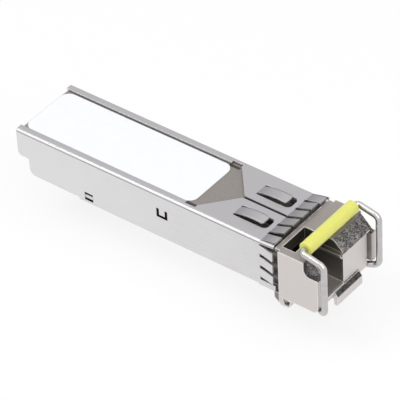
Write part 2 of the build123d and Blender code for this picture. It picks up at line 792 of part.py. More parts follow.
def hinge_bore():
    """Return the snap bores: round, with a narrower mouth below."""
    low, high = LUG_INNER_Y - 0.05, LEG_CHANNEL_INNER + 0.1
    bore = rod_y(WIRE_RADIUS + HINGE_CLEARANCE, low, high, HINGE_X, HINGE_Z)
    mouth = block(
        HINGE_X - SNAP_MOUTH / 2,
        HINGE_X + SNAP_MOUTH / 2,
        low,
        high,
        -LUG_DROP - BEYOND,
        HINGE_Z,
    )
    return both_sides(bore) + both_sides(mouth)


def port_cuts():
    """Return the fibre port: the plug cavity, its catch window and thumb slot."""
    front = MODULE_LENGTH + BEYOND
    top = MODULE_HEIGHT + BEYOND
    half_catch = CATCH_WIDTH / 2
    half_slot = PORT_WIDTH / 2 - LEDGE_WIDTH
    axis = PORT_OFFSET_Y
    ledge_top = PORT_ROOF + LEDGE_THICKNESS
    skin = MODULE_HEIGHT - ROOF_SKIN
    return [
        block(PORT_END_X, front, PORT_LOW_Y, PORT_HIGH_Y, PORT_FLOOR, PORT_ROOF),
        block(
            CATCH_START_X,
            CATCH_END_X,
            axis - half_catch,
            axis + half_catch,
            PORT_ROOF - 0.1,
            top,
        ),
        block(
            CATCH_START_X, front, axis - half_slot, axis + half_slot, PORT_ROOF - 0.1, skin
        ),
        block(
            CATCH_START_X, front, axis - half_catch, axis + half_catch, ledge_top, skin
        ),
        block(
            PORT_MOUTH_X, front, axis - half_catch, axis + half_catch, ledge_top, top
        ),
        block(
            CATCH_START_X,
            front,
            axis - THUMB_SLOT / 2,
            axis + THUMB_SLOT / 2,
            ledge_top,
            top,
        ),
    ]


def optic_cuts():
    """Return the hollows of the casting that hold the board and the optics."""
    roof = PORT_AXIS_Z + BODY_SIZE / 2 + 0.15
    pocket_y = PORT_OFFSET_Y - BODY_SIZE / 2 - 0.12
    return [
        block(-BEYOND, CONNECTOR_DEPTH, -INNER_HALF, INNER_HALF, -BEYOND, SHOULDER_Z),
        block(
            CONNECTOR_DEPTH,
            NECK_START - 0.6,
            -INNER_HALF,
            INNER_HALF,
            -BEYOND,
            DECK_UNDERSIDE,
        ),
        block(
            NECK_START - 0.7, RETAINER_START, -INNER_HALF, INNER_HALF, -BEYOND, roof
        ),
        block(
            RETAINER_START - 0.1,
            PORT_WALL_X,
            -HALF_REAR,
            HALF_REAR,
            -BEYOND,
            RETAINER_TOP + SHEET_GAP,
        ),
        block(RETAINER_START - 0.1, PORT_WALL_X, pocket_y, 1.5, 1.0, roof),
        rod_x(
            BARREL_RADIUS + GASKET_CLEARANCE,
            PORT_WALL_X - 0.1,
            PORT_END_X + 0.1,
            PORT_OFFSET_Y,
            PORT_AXIS_Z,
        ),
    ]


def latch_cuts():
    """Return the hollows under the nose for the lever, its hub and the bail legs."""
    front = MODULE_LENGTH + BEYOND
    hub = PIVOT_HUB + HUB_RELIEF
    channel = block(
        NOSE_START - 0.1,
        front,
        LEG_CHANNEL_INNER,
        LEG_CHANNEL_OUTER,
        -BEYOND,
        LEG_CHANNEL_TOP,
    )
    jog = block(
        BAIL_JOG_X - 0.7,
        front,
        LEG_CHANNEL_OUTER - 0.1,
        HALF_NOSE - JOG_SKIN,
        -BEYOND,
        LEG_CHANNEL_TOP,
    )
    crank_side = rod_y(
        CRANK_THROW + WIRE_RADIUS + 0.1, CAVITY_HALF - 0.1, LUG_INNER_Y, HINGE_X, HINGE_Z
    )
    cuts = [
        block(
            PORT_WALL_X - 0.1,
            front,
            -CAVITY_HALF,
            CAVITY_HALF,
            -BEYOND,
            LATCH_CAVITY_TOP,
        ),
        block(
            MODULE_LENGTH - 0.3,
            front,
            -CAVITY_HALF,
            CAVITY_HALF,
            -BEYOND,
            TAB_TOP_Z + 0.1,
        ),
        block(
            PORT_WALL_X - 0.1,
            PORT_END_X,
            -CAVITY_HALF,
            CAVITY_HALF,
            0,
            LATCH_CAVITY_TOP + LATCH_RISE_ROOM,
        ),
        rod_y(hub, -CAVITY_HALF, CAVITY_HALF, LATCH_PIVOT_X, LATCH_PIVOT_Z),
        rod_y(PIVOT_RADIUS, -CAST_HALF - 1, CAST_HALF + 1, LATCH_PIVOT_X, LATCH_PIVOT_Z),
    ]
    return cuts + both_sides(channel) + both_sides(jog) + both_sides(crank_side)


def board_rests():
    """Return the pads and pegs of the casting that locate the circuit board."""
    rests = []
    for x in PEG_ROWS:
        pad = block(
            x - REST_HALF_LENGTH,
            x + REST_HALF_LENGTH,
            INNER_HALF - REST_WIDTH,
            INNER_HALF + 0.1,
            BOARD_TOP,
            DECK_UNDERSIDE + 0.1,
        )
        peg = rod_z(PEG_RADIUS, BOARD_BOTTOM - 0.15, BOARD_TOP + 0.1, x, PEG_Y)
        rests += both_sides(pad) + both_sides(peg)
    return rests


def make_housing():
    """Return the die-cast housing: label deck, side walls, nose, port and ears."""
    casting = casting_side_walls()
    for cut in optic_cuts():
        casting -= cut
    for rest in board_rests():
        casting += rest
    nose = nose_block()
    casting += nose - blank_recess()
    half_collar = HALF_REAR - COLLAR_INSET
    casting += block(
        NOSE_START - FINGER_LAND,
        NOSE_START + SHEET,
        -half_collar,
        half_collar,
        SIDE_FINGER_TOP + SHEET,
        MODULE_HEIGHT - COLLAR_INSET,
    )
    for cut in finger_recesses():
        casting -= cut
    for ear in ears() + hinge_lugs():
        casting += ear
    for cut in port_cuts() + latch_cuts() + hinge_bore():
        casting -= cut
    for side in (-1, 1):
        low = ROOF_UNDERSIDE - LEAF_POCKET_DEPTH
        casting -= leaf_opening(side * LEAF_CENTRE_Y, low)
    for side in (-1, 1):
        lance = block(
            LANCE_START - 2 * SHEET,
            LANCE_START + LANCE_LENGTH + 2 * SHEET,
            CAST_HALF - LANCE_INSET - SHEET_GAP,
            CAST_HALF + BEYOND,
            0,
            LANCE_HIGH_Z + SHEET,
        )
        casting -= lance if side > 0 else mirror(lance, about=Plane.XZ)
    return casting


def make_retainer():
    """Return the block that closes the neck from below and carries the barrel."""
    retainer = block(
        RETAINER_START, RETAINER_END, -CAST_HALF, CAST_HALF, 0, RETAINER_TOP
    )
    half_pocket = SPRING_WIDTH / 2 + SPRING_GAP
    half_boss = half_pocket + SPRING_WALL
    retainer += block(
        SPRING_START - SPRING_WALL,
        RETAINER_END,
        -half_boss,
        half_boss,
        LATCH_CAVITY_TOP,
        SPRING_TOP_Z + 0.2,
    )
    retainer -= rod_x(
        BARREL_REAR_RADIUS + GASKET_CLEARANCE,
        RETAINER_START - 1,
        RETAINER_END + 1,
        PORT_OFFSET_Y,
        PORT_AXIS_Z,
    )
    retainer -= rod_x(
        FLANGE_RADIUS + GASKET_CLEARANCE,
        FLANGE_START - 0.02,
        RETAINER_END + 1,
        PORT_OFFSET_Y,
        PORT_AXIS_Z,
    )
    retainer -= block(
        LATCH_END_X - 0.2,
        RETAINER_END + 1,
        -CAVITY_HALF,
        CAVITY_HALF,
        -BEYOND,
        LATCH_CAVITY_TOP + LATCH_RISE_ROOM,
    )
    retainer -= side_profile(
        [
            (LATCH_END_X - 0.2, 0.5, 0),
            (LATCH_END_X - 0.2, LATCH_SWING_TOP, 0),
            (LATCH_END_X + 0.6, LATCH_SWING_TOP, 0),
            (RETAINER_END, LATCH_CAVITY_TOP + LATCH_RISE_ROOM, 0),
            (RETAINER_END, 0.5, 0),
        ],
        -CAVITY_HALF,
        CAVITY_HALF,
    )
    return retainer - block(
        SPRING_START, SPRING_END, -half_pocket, half_pocket, 0.5, SPRING_TOP_Z
    )


def make_latch_lever():
    """Return the release lever: boss, pivot hub, dip under the crank, front tab."""
    dip_low = DIP_TOP - LATCH_THICKNESS
    dip_start = CRANK_X - DIP_HALF_LENGTH
    dip_end = CRANK_X + DIP_HALF_LENGTH
    tab_back = TAB_FACE_X - TAB_DEPTH
    lever = side_profile(
        [
            (LATCH_END_X, 0.02, 0),
            (dip_start - DIP_RUN, 0.02, 0.3),
            (dip_start - 0.1, dip_low, 0.3),
            (dip_end + 0.1, dip_low, 0.3),
            (dip_end + DIP_RUN, 0.02, 0.3),
            (tab_back, 0.02, 0.2),
            (tab_back, TAB_LOW_Z, 0.1),
            (TAB_FACE_X, TAB_LOW_Z, 0.15),
            (TAB_FACE_X, TAB_EDGE_Z, 0.05),
            (tab_back + 0.1, TAB_TOP_Z, 0.05),
            (tab_back, TAB_TOP_Z, 0.05),
            (tab_back, LATCH_THICKNESS + 0.1, 0.1),
            (dip_end + DIP_RUN, LATCH_THICKNESS + 0.1, 0.3),
            (dip_end, DIP_TOP, 0.3),
            (dip_start, DIP_TOP, 0.3),
            (dip_start - DIP_RUN + 0.1, LATCH_THICKNESS, 0.3),
            (LATCH_END_X, LATCH_THICKNESS, 0.1),
        ],
        -HALF_LATCH,
        HALF_LATCH,
    )
    lever += rod_y(PIVOT_HUB, -HALF_LATCH, HALF_LATCH, LATCH_PIVOT_X, LATCH_PIVOT_Z)
    back = BOSS_SHOULDER_X - BOSS_LENGTH
    boss = side_profile(
        [
            (back, 0.1, 0),
            (back, 0, 0),
            (BOSS_SHOULDER_X - 0.7, -BOSS_HEIGHT, 0.3),
            (BOSS_SHOULDER_X, -BOSS_HEIGHT, 0),
            (BOSS_SHOULDER_X, 0.1, 0),
        ],
        -BOSS_WIDTH / 2,
        BOSS_WIDTH / 2,
    )
    lever += boss
    bore = PIVOT_RADIUS + PIVOT_CLEARANCE
    lever -= rod_y(bore, -HALF_LATCH - 1, HALF_LATCH + 1, LATCH_PIVOT_X, LATCH_PIVOT_Z)
    return lever


def make_lever_pin():
    """Return the dowel that the release lever turns on."""
    return rod_y(PIVOT_RADIUS, -CAST_HALF, CAST_HALF, LATCH_PIVOT_X, LATCH_PIVOT_Z)


def make_latch_spring():
    """Return the hairpin leaf spring that presses the boss end of the lever down."""
    half = SPRING_SHEET / 2
    top = SPRING_TOP_Z - half - 0.01
    touch = LATCH_THICKNESS + half + 0.01
    path = FilletPolyline(
        (SPRING_START + SPRING_GAP, 0, top),
        (SPRING_END - SPRING_GAP - half, 0, top),
        (SPRING_START + 0.75, 0, touch),
        (SPRING_START + SPRING_GAP, 0, touch + SPRING_GAP),
        radius=[SPRING_BEND, SPRING_BEND],
    )
    place = Plane(origin=path @ 0, x_dir=(0, 1, 0), z_dir=path % 0)
    return sweep(place * Rectangle(SPRING_WIDTH, SPRING_SHEET), path=path)


def bail_route():
    """Return the bail's corners from the butt joint, down one side, to the middle."""
    crank_end = CRANK_HALF_WIDTH
    return [
        (BAIL_BAR_X, BAIL_JOINT_GAP / 2, BAIL_BAR_Z, 0),
        (BAIL_BAR_X, BAIL_LEG_Y, BAIL_BAR_Z, BAIL_BAR_BEND),
        (BAIL_FRONT_X, BAIL_LEG_Y, BAIL_SHOULDER_Z, BAIL_BEND_RADIUS),
        (BAIL_FRONT_X, BAIL_LEG_Y, BAIL_FOOT_Z, BAIL_BEND_RADIUS),
        (BAIL_JOG_X, BAIL_LOW_Y, BAIL_FOOT_Z - 0.05, BAIL_BEND_RADIUS),
        (HINGE_X, BAIL_LOW_Y, HINGE_Z, 0.6),
        (HINGE_X, crank_end + CRANK_JOG, HINGE_Z, 0),
        (CRANK_X, crank_end, CRANK_Z, 0),
    ]


def make_bail_wire():
    """Return the bail: one wire bent to a closed frame, its ends butting in the bar."""
    route = bail_route()
    points = [(x, y, z) for x, y, z, _ in route]
    bends = [radius for _, _, _, radius in route]
    leg = FilletPolyline(*points[:-2], points[-2], radius=bends[1:-2])
    crank = Polyline(*points[-2:], *[(x, -y, z) for x, y, z in reversed(points[-2:])])
    far_leg = leg.mirror(Plane.XZ)
    path = Wire(leg.edges() + crank.edges() + far_leg.edges())
    section = Plane(origin=leg @ 0, z_dir=leg % 0) * Circle(WIRE_RADIUS)
    return sweep(section, path=path, transition=Transition.RIGHT)


def make_bail_sleeve():
    """Return the coloured grip, a thick tube on the bail's top bar."""
    half = SLEEVE_LENGTH / 2
    grip = rod_y(SLEEVE_RADIUS, -half, half, BAIL_BAR_X, BAIL_BAR_Z)
    grip = chamfer(grip.edges().filter_by(GeomType.CIRCLE), SLEEVE_BEVEL)
    return grip - rod_y(WIRE_RADIUS, -half - 1, half + 1, BAIL_BAR_X, BAIL_BAR_Z)


def make_label():
    """Return the blank label that lies on the deck."""
    mid = (LABEL_START + LABEL_END) / 2
    sheet = RectangleRounded(LABEL_END - LABEL_START, 2 * LABEL_HALF_WIDTH, LABEL_RADIUS)
    return extrude(Plane((mid, 0, DECK_TOP)) * sheet, amount=LABEL_THICKNESS)


def make_board():
    """Return the circuit board, narrow at its plug-in edge."""
    edge_end = BOARD_START + EDGE_LENGTH
    board = plan_profile(
        [
            (BOARD_START, -EDGE_WIDTH / 2, 0.3),
            (edge_end, -EDGE_WIDTH / 2, 0),
            (edge_end, -BOARD_WIDTH / 2, 0),
            (BOARD_END, -BOARD_WIDTH / 2, 0.4),
            (BOARD_END, BOARD_WIDTH / 2, 0.4),
            (edge_end, BOARD_WIDTH / 2, 0),
            (edge_end, EDGE_WIDTH / 2, 0),
            (BOARD_START, EDGE_WIDTH / 2, 0.3),
        ],
        BOARD_BOTTOM,
        BOARD_TOP,
    )
    for x in PEG_ROWS:
        hole = rod_z(PEG_RADIUS + PEG_CLEARANCE, 0, MODULE_HEIGHT, x, PEG_Y)
        for cut in both_sides(hole):
            board -= cut
    return board


def make_edge_contacts():
    """Return the gold contact pads on both faces of the board's edge."""
    pads = []
    start = BOARD_START + PAD_SETBACK
    for index in range(PADS_PER_SIDE):
        y = (index - (PADS_PER_SIDE - 1) / 2) * PAD_PITCH
        low, high = y - PAD_WIDTH / 2, y + PAD_WIDTH / 2
        for z in (BOARD_TOP, BOARD_BOTTOM - PAD_THICKNESS):
            pads.append(
                block(start, start + PAD_LENGTH, low, high, z, z + PAD_THICKNESS)
            )
    return Compound(children=pads)


def chip(place, size, height, face_z):
    """Return one flat package, standing on the board's top or hanging below it."""
    x, y = place
    up = face_z >= BOARD_TOP
    low = face_z if up else face_z - height
    return block(x - size / 2, x + size / 2, y - size / 2, y + size / 2, low, low + height)


def make_passives():
    """Return the small chip capacitors in two rows on the board's top."""
    parts = []
    half = CAPACITOR_WIDTH / 2
    high = BOARD_TOP + CAPACITOR_WIDTH
    for row_y in CAPACITOR_ROWS:
        for index in range(CAPACITORS_PER_ROW):
            x = CAPACITOR_START + index * CAPACITOR_PITCH
            end = x + CAPACITOR_LENGTH
            parts.append(block(x, end, row_y - half, row_y + half, BOARD_TOP, high))
    return Compound(children=parts)


def make_ferrites():
    """Return the supply filter's chip inductors behind the contacts."""
    parts = []
    half = INDUCTOR_WIDTH / 2
    end = INDUCTOR_START + INDUCTOR_LENGTH
    high = BOARD_TOP + INDUCTOR_WIDTH
    for index in range(INDUCTORS):
        y = (index - (INDUCTORS - 1) / 2) * INDUCTOR_PITCH
        parts.append(block(INDUCTOR_START, end, y - half, y + half, BOARD_TOP, high))
    return Compound(children=parts)


def make_optic_body():
    """Return the metal block in which the send and receive paths meet."""
    half = BODY_SIZE / 2
    body = block(
        BODY_START,
        BODY_END,
        PORT_OFFSET_Y - half,
        PORT_OFFSET_Y + half,
        PORT_AXIS_Z - half,
        PORT_AXIS_Z + half,
    )
    body = chamfer(body.edges().filter_by(Axis.X), 0.4)
    bore = CAN_RADIUS + CAN_CLEARANCE
    body -= rod_x(LIGHT_BORE, BODY_START - 1, BODY_END + 1, PORT_OFFSET_Y, PORT_AXIS_Z)
    depth = CAN_DEPTH + CAN_CLEARANCE
    body -= rod_x(bore, BODY_START - 1, BODY_START + depth, PORT_OFFSET_Y, PORT_AXIS_Z)
    body -= rod_y(bore, OPTIC_SIDE_Y - depth, OPTIC_SIDE_Y + 1, BODY_MID_X, PORT_AXIS_Z)
    body -= rod_y(LIGHT_BORE, PORT_OFFSET_Y, OPTIC_SIDE_Y, BODY_MID_X, PORT_AXIS_Z)
    return body - filter_plate(0.02)


def filter_plate(margin):
    """Return the tilted glass plate, or with a margin the slot that holds it."""
    size = FILTER_SIZE + 2 * margin
    plate = Box(FILTER_THICKNESS + 2 * margin, size, size)
    return Pos(BODY_MID_X, PORT_OFFSET_Y, PORT_AXIS_Z) * Rot(0, 0, -45) * plate


def can_along_x():
    """Return a can, header side first, that points along X into the optic body."""
    can = rod_x(CAN_RADIUS, -0.1, CAN_DEPTH, 0, 0)
    can = chamfer(can.edges().filter_by(GeomType.CIRCLE).sort_by(Axis.X)[-1], 0.15)
    return can + rod_x(HEADER_RADIUS, -HEADER_THICKNESS, 0, 0, 0)


def lead_rod(radius, x0, x1, y, z):
    """Return a lead along X with eight flats, or the punched hole for it."""
    section = Pos(y, z) * RegularPolygon(radius, 8)
    return extrude(Plane.YZ.offset(x0) * section, amount=x1 - x0)


def leads_along_x():
    """Return the four wire leads behind a header."""
    leads = []
    for index in range(4):
        angle = math.radians(45 + 90 * index)
        y, z = LEAD_RING * math.cos(angle), LEAD_RING * math.sin(angle)
        start = -HEADER_THICKNESS - LEAD_LENGTH
        leads.append(lead_rod(LEAD_RADIUS, start, -HEADER_THICKNESS, y, z))
    return leads


def laser_place():
    """Return the place of the laser's header face, looking along X."""
    return Pos(BODY_START, PORT_OFFSET_Y, PORT_AXIS_Z)


def receiver_place():
    """Return the place of the receiver's header face, looking back across Y."""
    return Pos(BODY_MID_X, OPTIC_SIDE_Y, PORT_AXIS_Z) * Rot(0, 0, -90)


def lead_holes(place):
    """Return the clearance holes that a flex needs for one set of leads."""
    holes = []
    for index in range(4):
        angle = math.radians(45 + 90 * index)
        y, z = LEAD_RING * math.cos(angle), LEAD_RING * math.sin(angle)
        start = -HEADER_THICKNESS - LEAD_LENGTH - 1
        holes.append(place * lead_rod(LEAD_RADIUS + LEAD_CLEARANCE, start, 0, y, z))
    return holes


def make_laser_flex():
    """Return the flex that drops from the laser's leads onto the board's top."""
    face_x = BODY_START - HEADER_THICKNESS - 0.85
    low = BOARD_TOP
    top = PORT_AXIS_Z + HEADER_RADIUS - 0.2
    reach = BOARD_END - 2.6
    flex = side_profile(
        [
            (face_x, top, 0),
            (face_x, low, 0.5),
            (reach, low, 0),
            (reach, low + FLEX_THICKNESS, 0),
            (face_x - FLEX_THICKNESS, low + FLEX_THICKNESS, 0.38),
            (face_x - FLEX_THICKNESS, top, 0),
        ],
        PORT_OFFSET_Y - FLEX_WIDTH / 2,
        PORT_OFFSET_Y + FLEX_WIDTH / 2,
    )
    for hole in lead_holes(laser_place()):
        flex -= hole
    return flex


def make_receiver_flex():
    """Return the folded flex from the receiver's leads back to the board's top."""
    wall_y = OPTIC_SIDE_Y + HEADER_THICKNESS + 0.85
    half = FLEX_WIDTH / 2
    reach = BOARD_END - 2.6
    pad = block(
        BODY_MID_X - half - 0.2,
        BODY_MID_X + half + 0.2,
        wall_y - FLEX_THICKNESS,
        wall_y,
        PORT_AXIS_Z - half,
        PORT_AXIS_Z + half,
    )
    web = block(
        reach, BODY_MID_X, wall_y - FLEX_THICKNESS, wall_y, BOARD_TOP, BOARD_TOP + 1.6
    )
    foot = block(
        reach,
        BOARD_END,
        wall_y - FLEX_THICKNESS,
        wall_y + 1.7,
        BOARD_TOP,
        BOARD_TOP + FLEX_THICKNESS,
    )
    flex = pad + web + foot
    for hole in lead_holes(receiver_place()):
        flex -= hole
    return flex


def make_barrel():
    """Return the turned receptacle: rear barrel, flange and ferrule nose."""
    axis = (PORT_OFFSET_Y, PORT_AXIS_Z)
    barrel = rod_x(BARREL_REAR_RADIUS, BODY_END, FLANGE_START + 0.1, *axis)
    barrel += rod_x(FLANGE_RADIUS, FLANGE_START, FLANGE_END, *axis)
    tip = rod_x(BARREL_RADIUS, FLANGE_END - 0.1, BARREL_TIP_X, *axis)
    tip = chamfer(tip.edges().filter_by(GeomType.CIRCLE).sort_by(Axis.X)[-1], 0.2)
    barrel += tip
    barrel -= rod_x(FERRULE_SLEEVE_RADIUS, STUB_START, SLEEVE_END, *axis)
    barrel -= rod_x(FERRULE_RADIUS + LIP_CLEARANCE, SLEEVE_END, BARREL_TIP_X, *axis)
    return barrel - rod_x(STUB_WINDOW, BODY_END, STUB_START, *axis)


def make_ferrule_sleeve():
    """Return the split ceramic sleeve that lines up the plug's ferrule."""
    axis = (PORT_OFFSET_Y, PORT_AXIS_Z)
    sleeve = rod_x(FERRULE_SLEEVE_RADIUS, SLEEVE_START, SLEEVE_END, *axis)
    sleeve -= rod_x(FERRULE_RADIUS, SLEEVE_START, SLEEVE_END, *axis)
    slit = block(
        SLEEVE_START,
        SLEEVE_END,
        PORT_OFFSET_Y - SLEEVE_SLIT / 2,
        PORT_OFFSET_Y + SLEEVE_SLIT / 2,
        PORT_AXIS_Z,
        PORT_AXIS_Z + FERRULE_SLEEVE_RADIUS,
    )
    return sleeve - slit


def make_fibre_stub():
    """Return the ceramic stub that the plug's ferrule meets inside the barrel."""
    axis = (PORT_OFFSET_Y, PORT_AXIS_Z)
    return rod_x(FERRULE_SLEEVE_RADIUS, STUB_START, SLEEVE_START, *axis)


def make_gasket():
    """Return the conductive ring squeezed between the flange and the port's wall."""
    axis = (PORT_OFFSET_Y, PORT_AXIS_Z)
    ring = rod_x(GASKET_RADIUS, FLANGE_END, PORT_WALL_X, *axis)
    return ring - rod_x(BARREL_RADIUS, FLANGE_END - 1, PORT_WALL_X + 1, *axis)


def make_parts():
    """Return every piece of the module by its node name."""
    laser = laser_place()
    receiver = receiver_place()
    return {
        "housing_casting": make_housing(),
        "shell": make_shell(),
        "optics_retainer": make_retainer(),
        "label": make_label(),
        "bail_wire": make_bail_wire(),
        "bail_sleeve": make_bail_sleeve(),
        "latch_lever": make_latch_lever(),
        "lever_pin": make_lever_pin(),
        "latch_spring": make_latch_spring(),
        "circuit_board": make_board(),
        "edge_contacts": make_edge_contacts(),
        "laser_driver": chip(DRIVER_PLACE, CHIP_SIZE, CHIP_HEIGHT, BOARD_TOP),
        "receive_amplifier": chip(AMPLIFIER_PLACE, CHIP_SIZE, CHIP_HEIGHT, BOARD_TOP),
        "controller": chip(
            (CONTROLLER_X, CONTROLLER_Y), CONTROLLER_SIZE, CONTROLLER_HEIGHT, BOARD_TOP
        ),
        "memory_chip": chip(MEMORY_PLACE, MEMORY_SIZE, MEMORY_HEIGHT, BOARD_BOTTOM),
        "capacitors": make_passives(),
        "supply_inductors": make_ferrites(),
        "optic_body": make_optic_body(),
        "wavelength_filter": filter_plate(0),
        "laser_can": laser * can_along_x(),
        "laser_leads": Compound(children=[laser * lead for lead in leads_along_x()]),
        "laser_flex": make_laser_flex(),
        "receiver_can": receiver * can_along_x(),
        "receiver_leads": Compound(
            children=[receiver * lead for lead in leads_along_x()]
        ),
        "receiver_flex": make_receiver_flex(),
        "receptacle_barrel": make_barrel(),
        "ferrule_sleeve": make_ferrule_sleeve(),
        "fibre_stub": make_fibre_stub(),
        "shield_gasket": make_gasket(),
    }


def main():
    """Build every piece and write one STEP file for each."""
    os.makedirs("parts", exist_ok=True)
    for name, shape in make_parts().items():
        export_step(shape, f"parts/{name}.step")
        box = shape.bounding_box()
        print(name, len(shape.solids()), round(shape.volume, 2), box.min, box.max)


main()
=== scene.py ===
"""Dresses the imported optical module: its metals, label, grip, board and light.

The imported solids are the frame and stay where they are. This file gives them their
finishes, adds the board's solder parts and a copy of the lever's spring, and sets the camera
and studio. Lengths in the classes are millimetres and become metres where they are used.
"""

from __future__ import annotations

import json
import logging
import math
from dataclasses import dataclass, field
from enum import Enum
from typing import Any, Iterable, Sequence

import bmesh
import bpy
from mathutils import Matrix, Vector

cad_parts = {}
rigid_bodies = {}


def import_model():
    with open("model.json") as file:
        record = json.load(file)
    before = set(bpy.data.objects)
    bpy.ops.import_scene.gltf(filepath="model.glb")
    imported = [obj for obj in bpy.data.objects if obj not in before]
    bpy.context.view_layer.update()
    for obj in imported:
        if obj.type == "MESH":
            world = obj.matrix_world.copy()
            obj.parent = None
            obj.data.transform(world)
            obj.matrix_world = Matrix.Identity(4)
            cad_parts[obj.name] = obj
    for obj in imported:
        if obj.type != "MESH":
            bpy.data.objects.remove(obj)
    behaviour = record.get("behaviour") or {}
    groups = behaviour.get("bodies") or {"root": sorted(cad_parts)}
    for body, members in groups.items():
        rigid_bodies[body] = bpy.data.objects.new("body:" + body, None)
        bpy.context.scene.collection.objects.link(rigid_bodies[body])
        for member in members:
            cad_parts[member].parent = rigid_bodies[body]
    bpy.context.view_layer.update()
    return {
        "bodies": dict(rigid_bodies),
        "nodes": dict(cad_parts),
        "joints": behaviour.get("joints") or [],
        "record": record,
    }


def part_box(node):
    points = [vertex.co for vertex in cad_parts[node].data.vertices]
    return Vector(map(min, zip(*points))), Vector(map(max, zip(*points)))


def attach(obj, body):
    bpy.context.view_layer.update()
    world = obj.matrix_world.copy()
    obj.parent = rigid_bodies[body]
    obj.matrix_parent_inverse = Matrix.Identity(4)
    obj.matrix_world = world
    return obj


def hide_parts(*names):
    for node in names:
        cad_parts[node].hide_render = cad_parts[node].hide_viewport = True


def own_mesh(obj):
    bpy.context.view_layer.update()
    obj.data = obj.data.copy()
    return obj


LOG = logging.getLogger("optical_module")
MM = 0.001

Span = tuple[float, float]
Band = tuple[Span, Span]
Triple = tuple[float, float, float]
Box = tuple[Triple, Triple]

# A box that holds no point
NOWHERE: Box = ((0.0, 0.0, 0.0), (0.0, 0.0, 0.0))
# Doubled vertices lie closer together than this, in metres
WELD_REACH = 1e-7
# The share of its reach over which a painted edge highlight fades out
HIGHLIGHT_FADE = 0.1
# Most values of a noise pattern lie between these two
NOISE_MIDDLE: Span = (0.3, 0.7)
BEVEL_SAMPLES = 6


class Role(Enum):
    """The finish that a surface of the module takes."""

    CAST = "cast_alloy"
    SHEET = "rolled_sheet"
    LABEL = "label_film"
    WIRE = "plated_wire"
    GRIP = "grip_plastic"
    LEVER = "cast_lever"
    BOARD = "board_laminate"
    GOLD = "gold_plate"
    EPOXY = "moulded_epoxy"
    CERAMIC_CHIP = "chip_ceramic"
    SOLDER = "tin_solder"
    TURNED = "turned_steel"
    GLASS = "coated_glass"
    FLEX = "amber_flex"
    ZIRCONIA = "white_zirconia"
    GASKET = "conductive_rubber"
    FLOOR = "pale_floor"


class Socket:
    """One output socket of a shader tree, with arithmetic that adds Math nodes."""

    def __init__(self, tree: "ShaderTree", link: bpy.types.NodeSocket) -> None:
        """Keep the tree and the socket.

        Args:
            tree: The shader tree that new nodes go into.
            link: The output socket that this value stands for.
        """
        self.tree = tree
        self.link = link

    def _maths(self, operation: str, first: Any, second: Any) -> "Socket":
        """Return the result of one Math node on sockets or numbers."""
        return self.tree.node("ShaderNodeMath", {"operation": operation}, {0: first, 1: second})

    def __add__(self, other: Any) -> "Socket":
        """Return the sum."""
        return self._maths("ADD", self, other)

    def __sub__(self, other: Any) -> "Socket":
        """Return the difference."""
        return self._maths("SUBTRACT", self, other)

    def __rsub__(self, other: Any) -> "Socket":
        """Return the difference, with the number first."""
        return self._maths("SUBTRACT", other, self)

    def __mul__(self, other: Any) -> "Socket":
        """Return the product."""
        return self._maths("MULTIPLY", self, other)

    def __truediv__(self, other: Any) -> "Socket":
        """Return the quotient."""
        return self._maths("DIVIDE", self, other)

    def __abs__(self) -> "Socket":
        """Return the size without its sign."""
        return self.tree.node("ShaderNodeMath", {"operation": "ABSOLUTE"}, {0: self})

    def larger(self, other: Any) -> "Socket":
        """Return the larger of two values."""
        return self._maths("MAXIMUM", self, other)

    def __gt__(self, other: Any) -> "Socket":
        """Return 1 where this value is the larger."""
        return self._maths("GREATER_THAN", self, other)

    def __lt__(self, other: Any) -> "Socket":
        """Return 1 where this value is the smaller."""
        return self._maths("LESS_THAN", self, other)


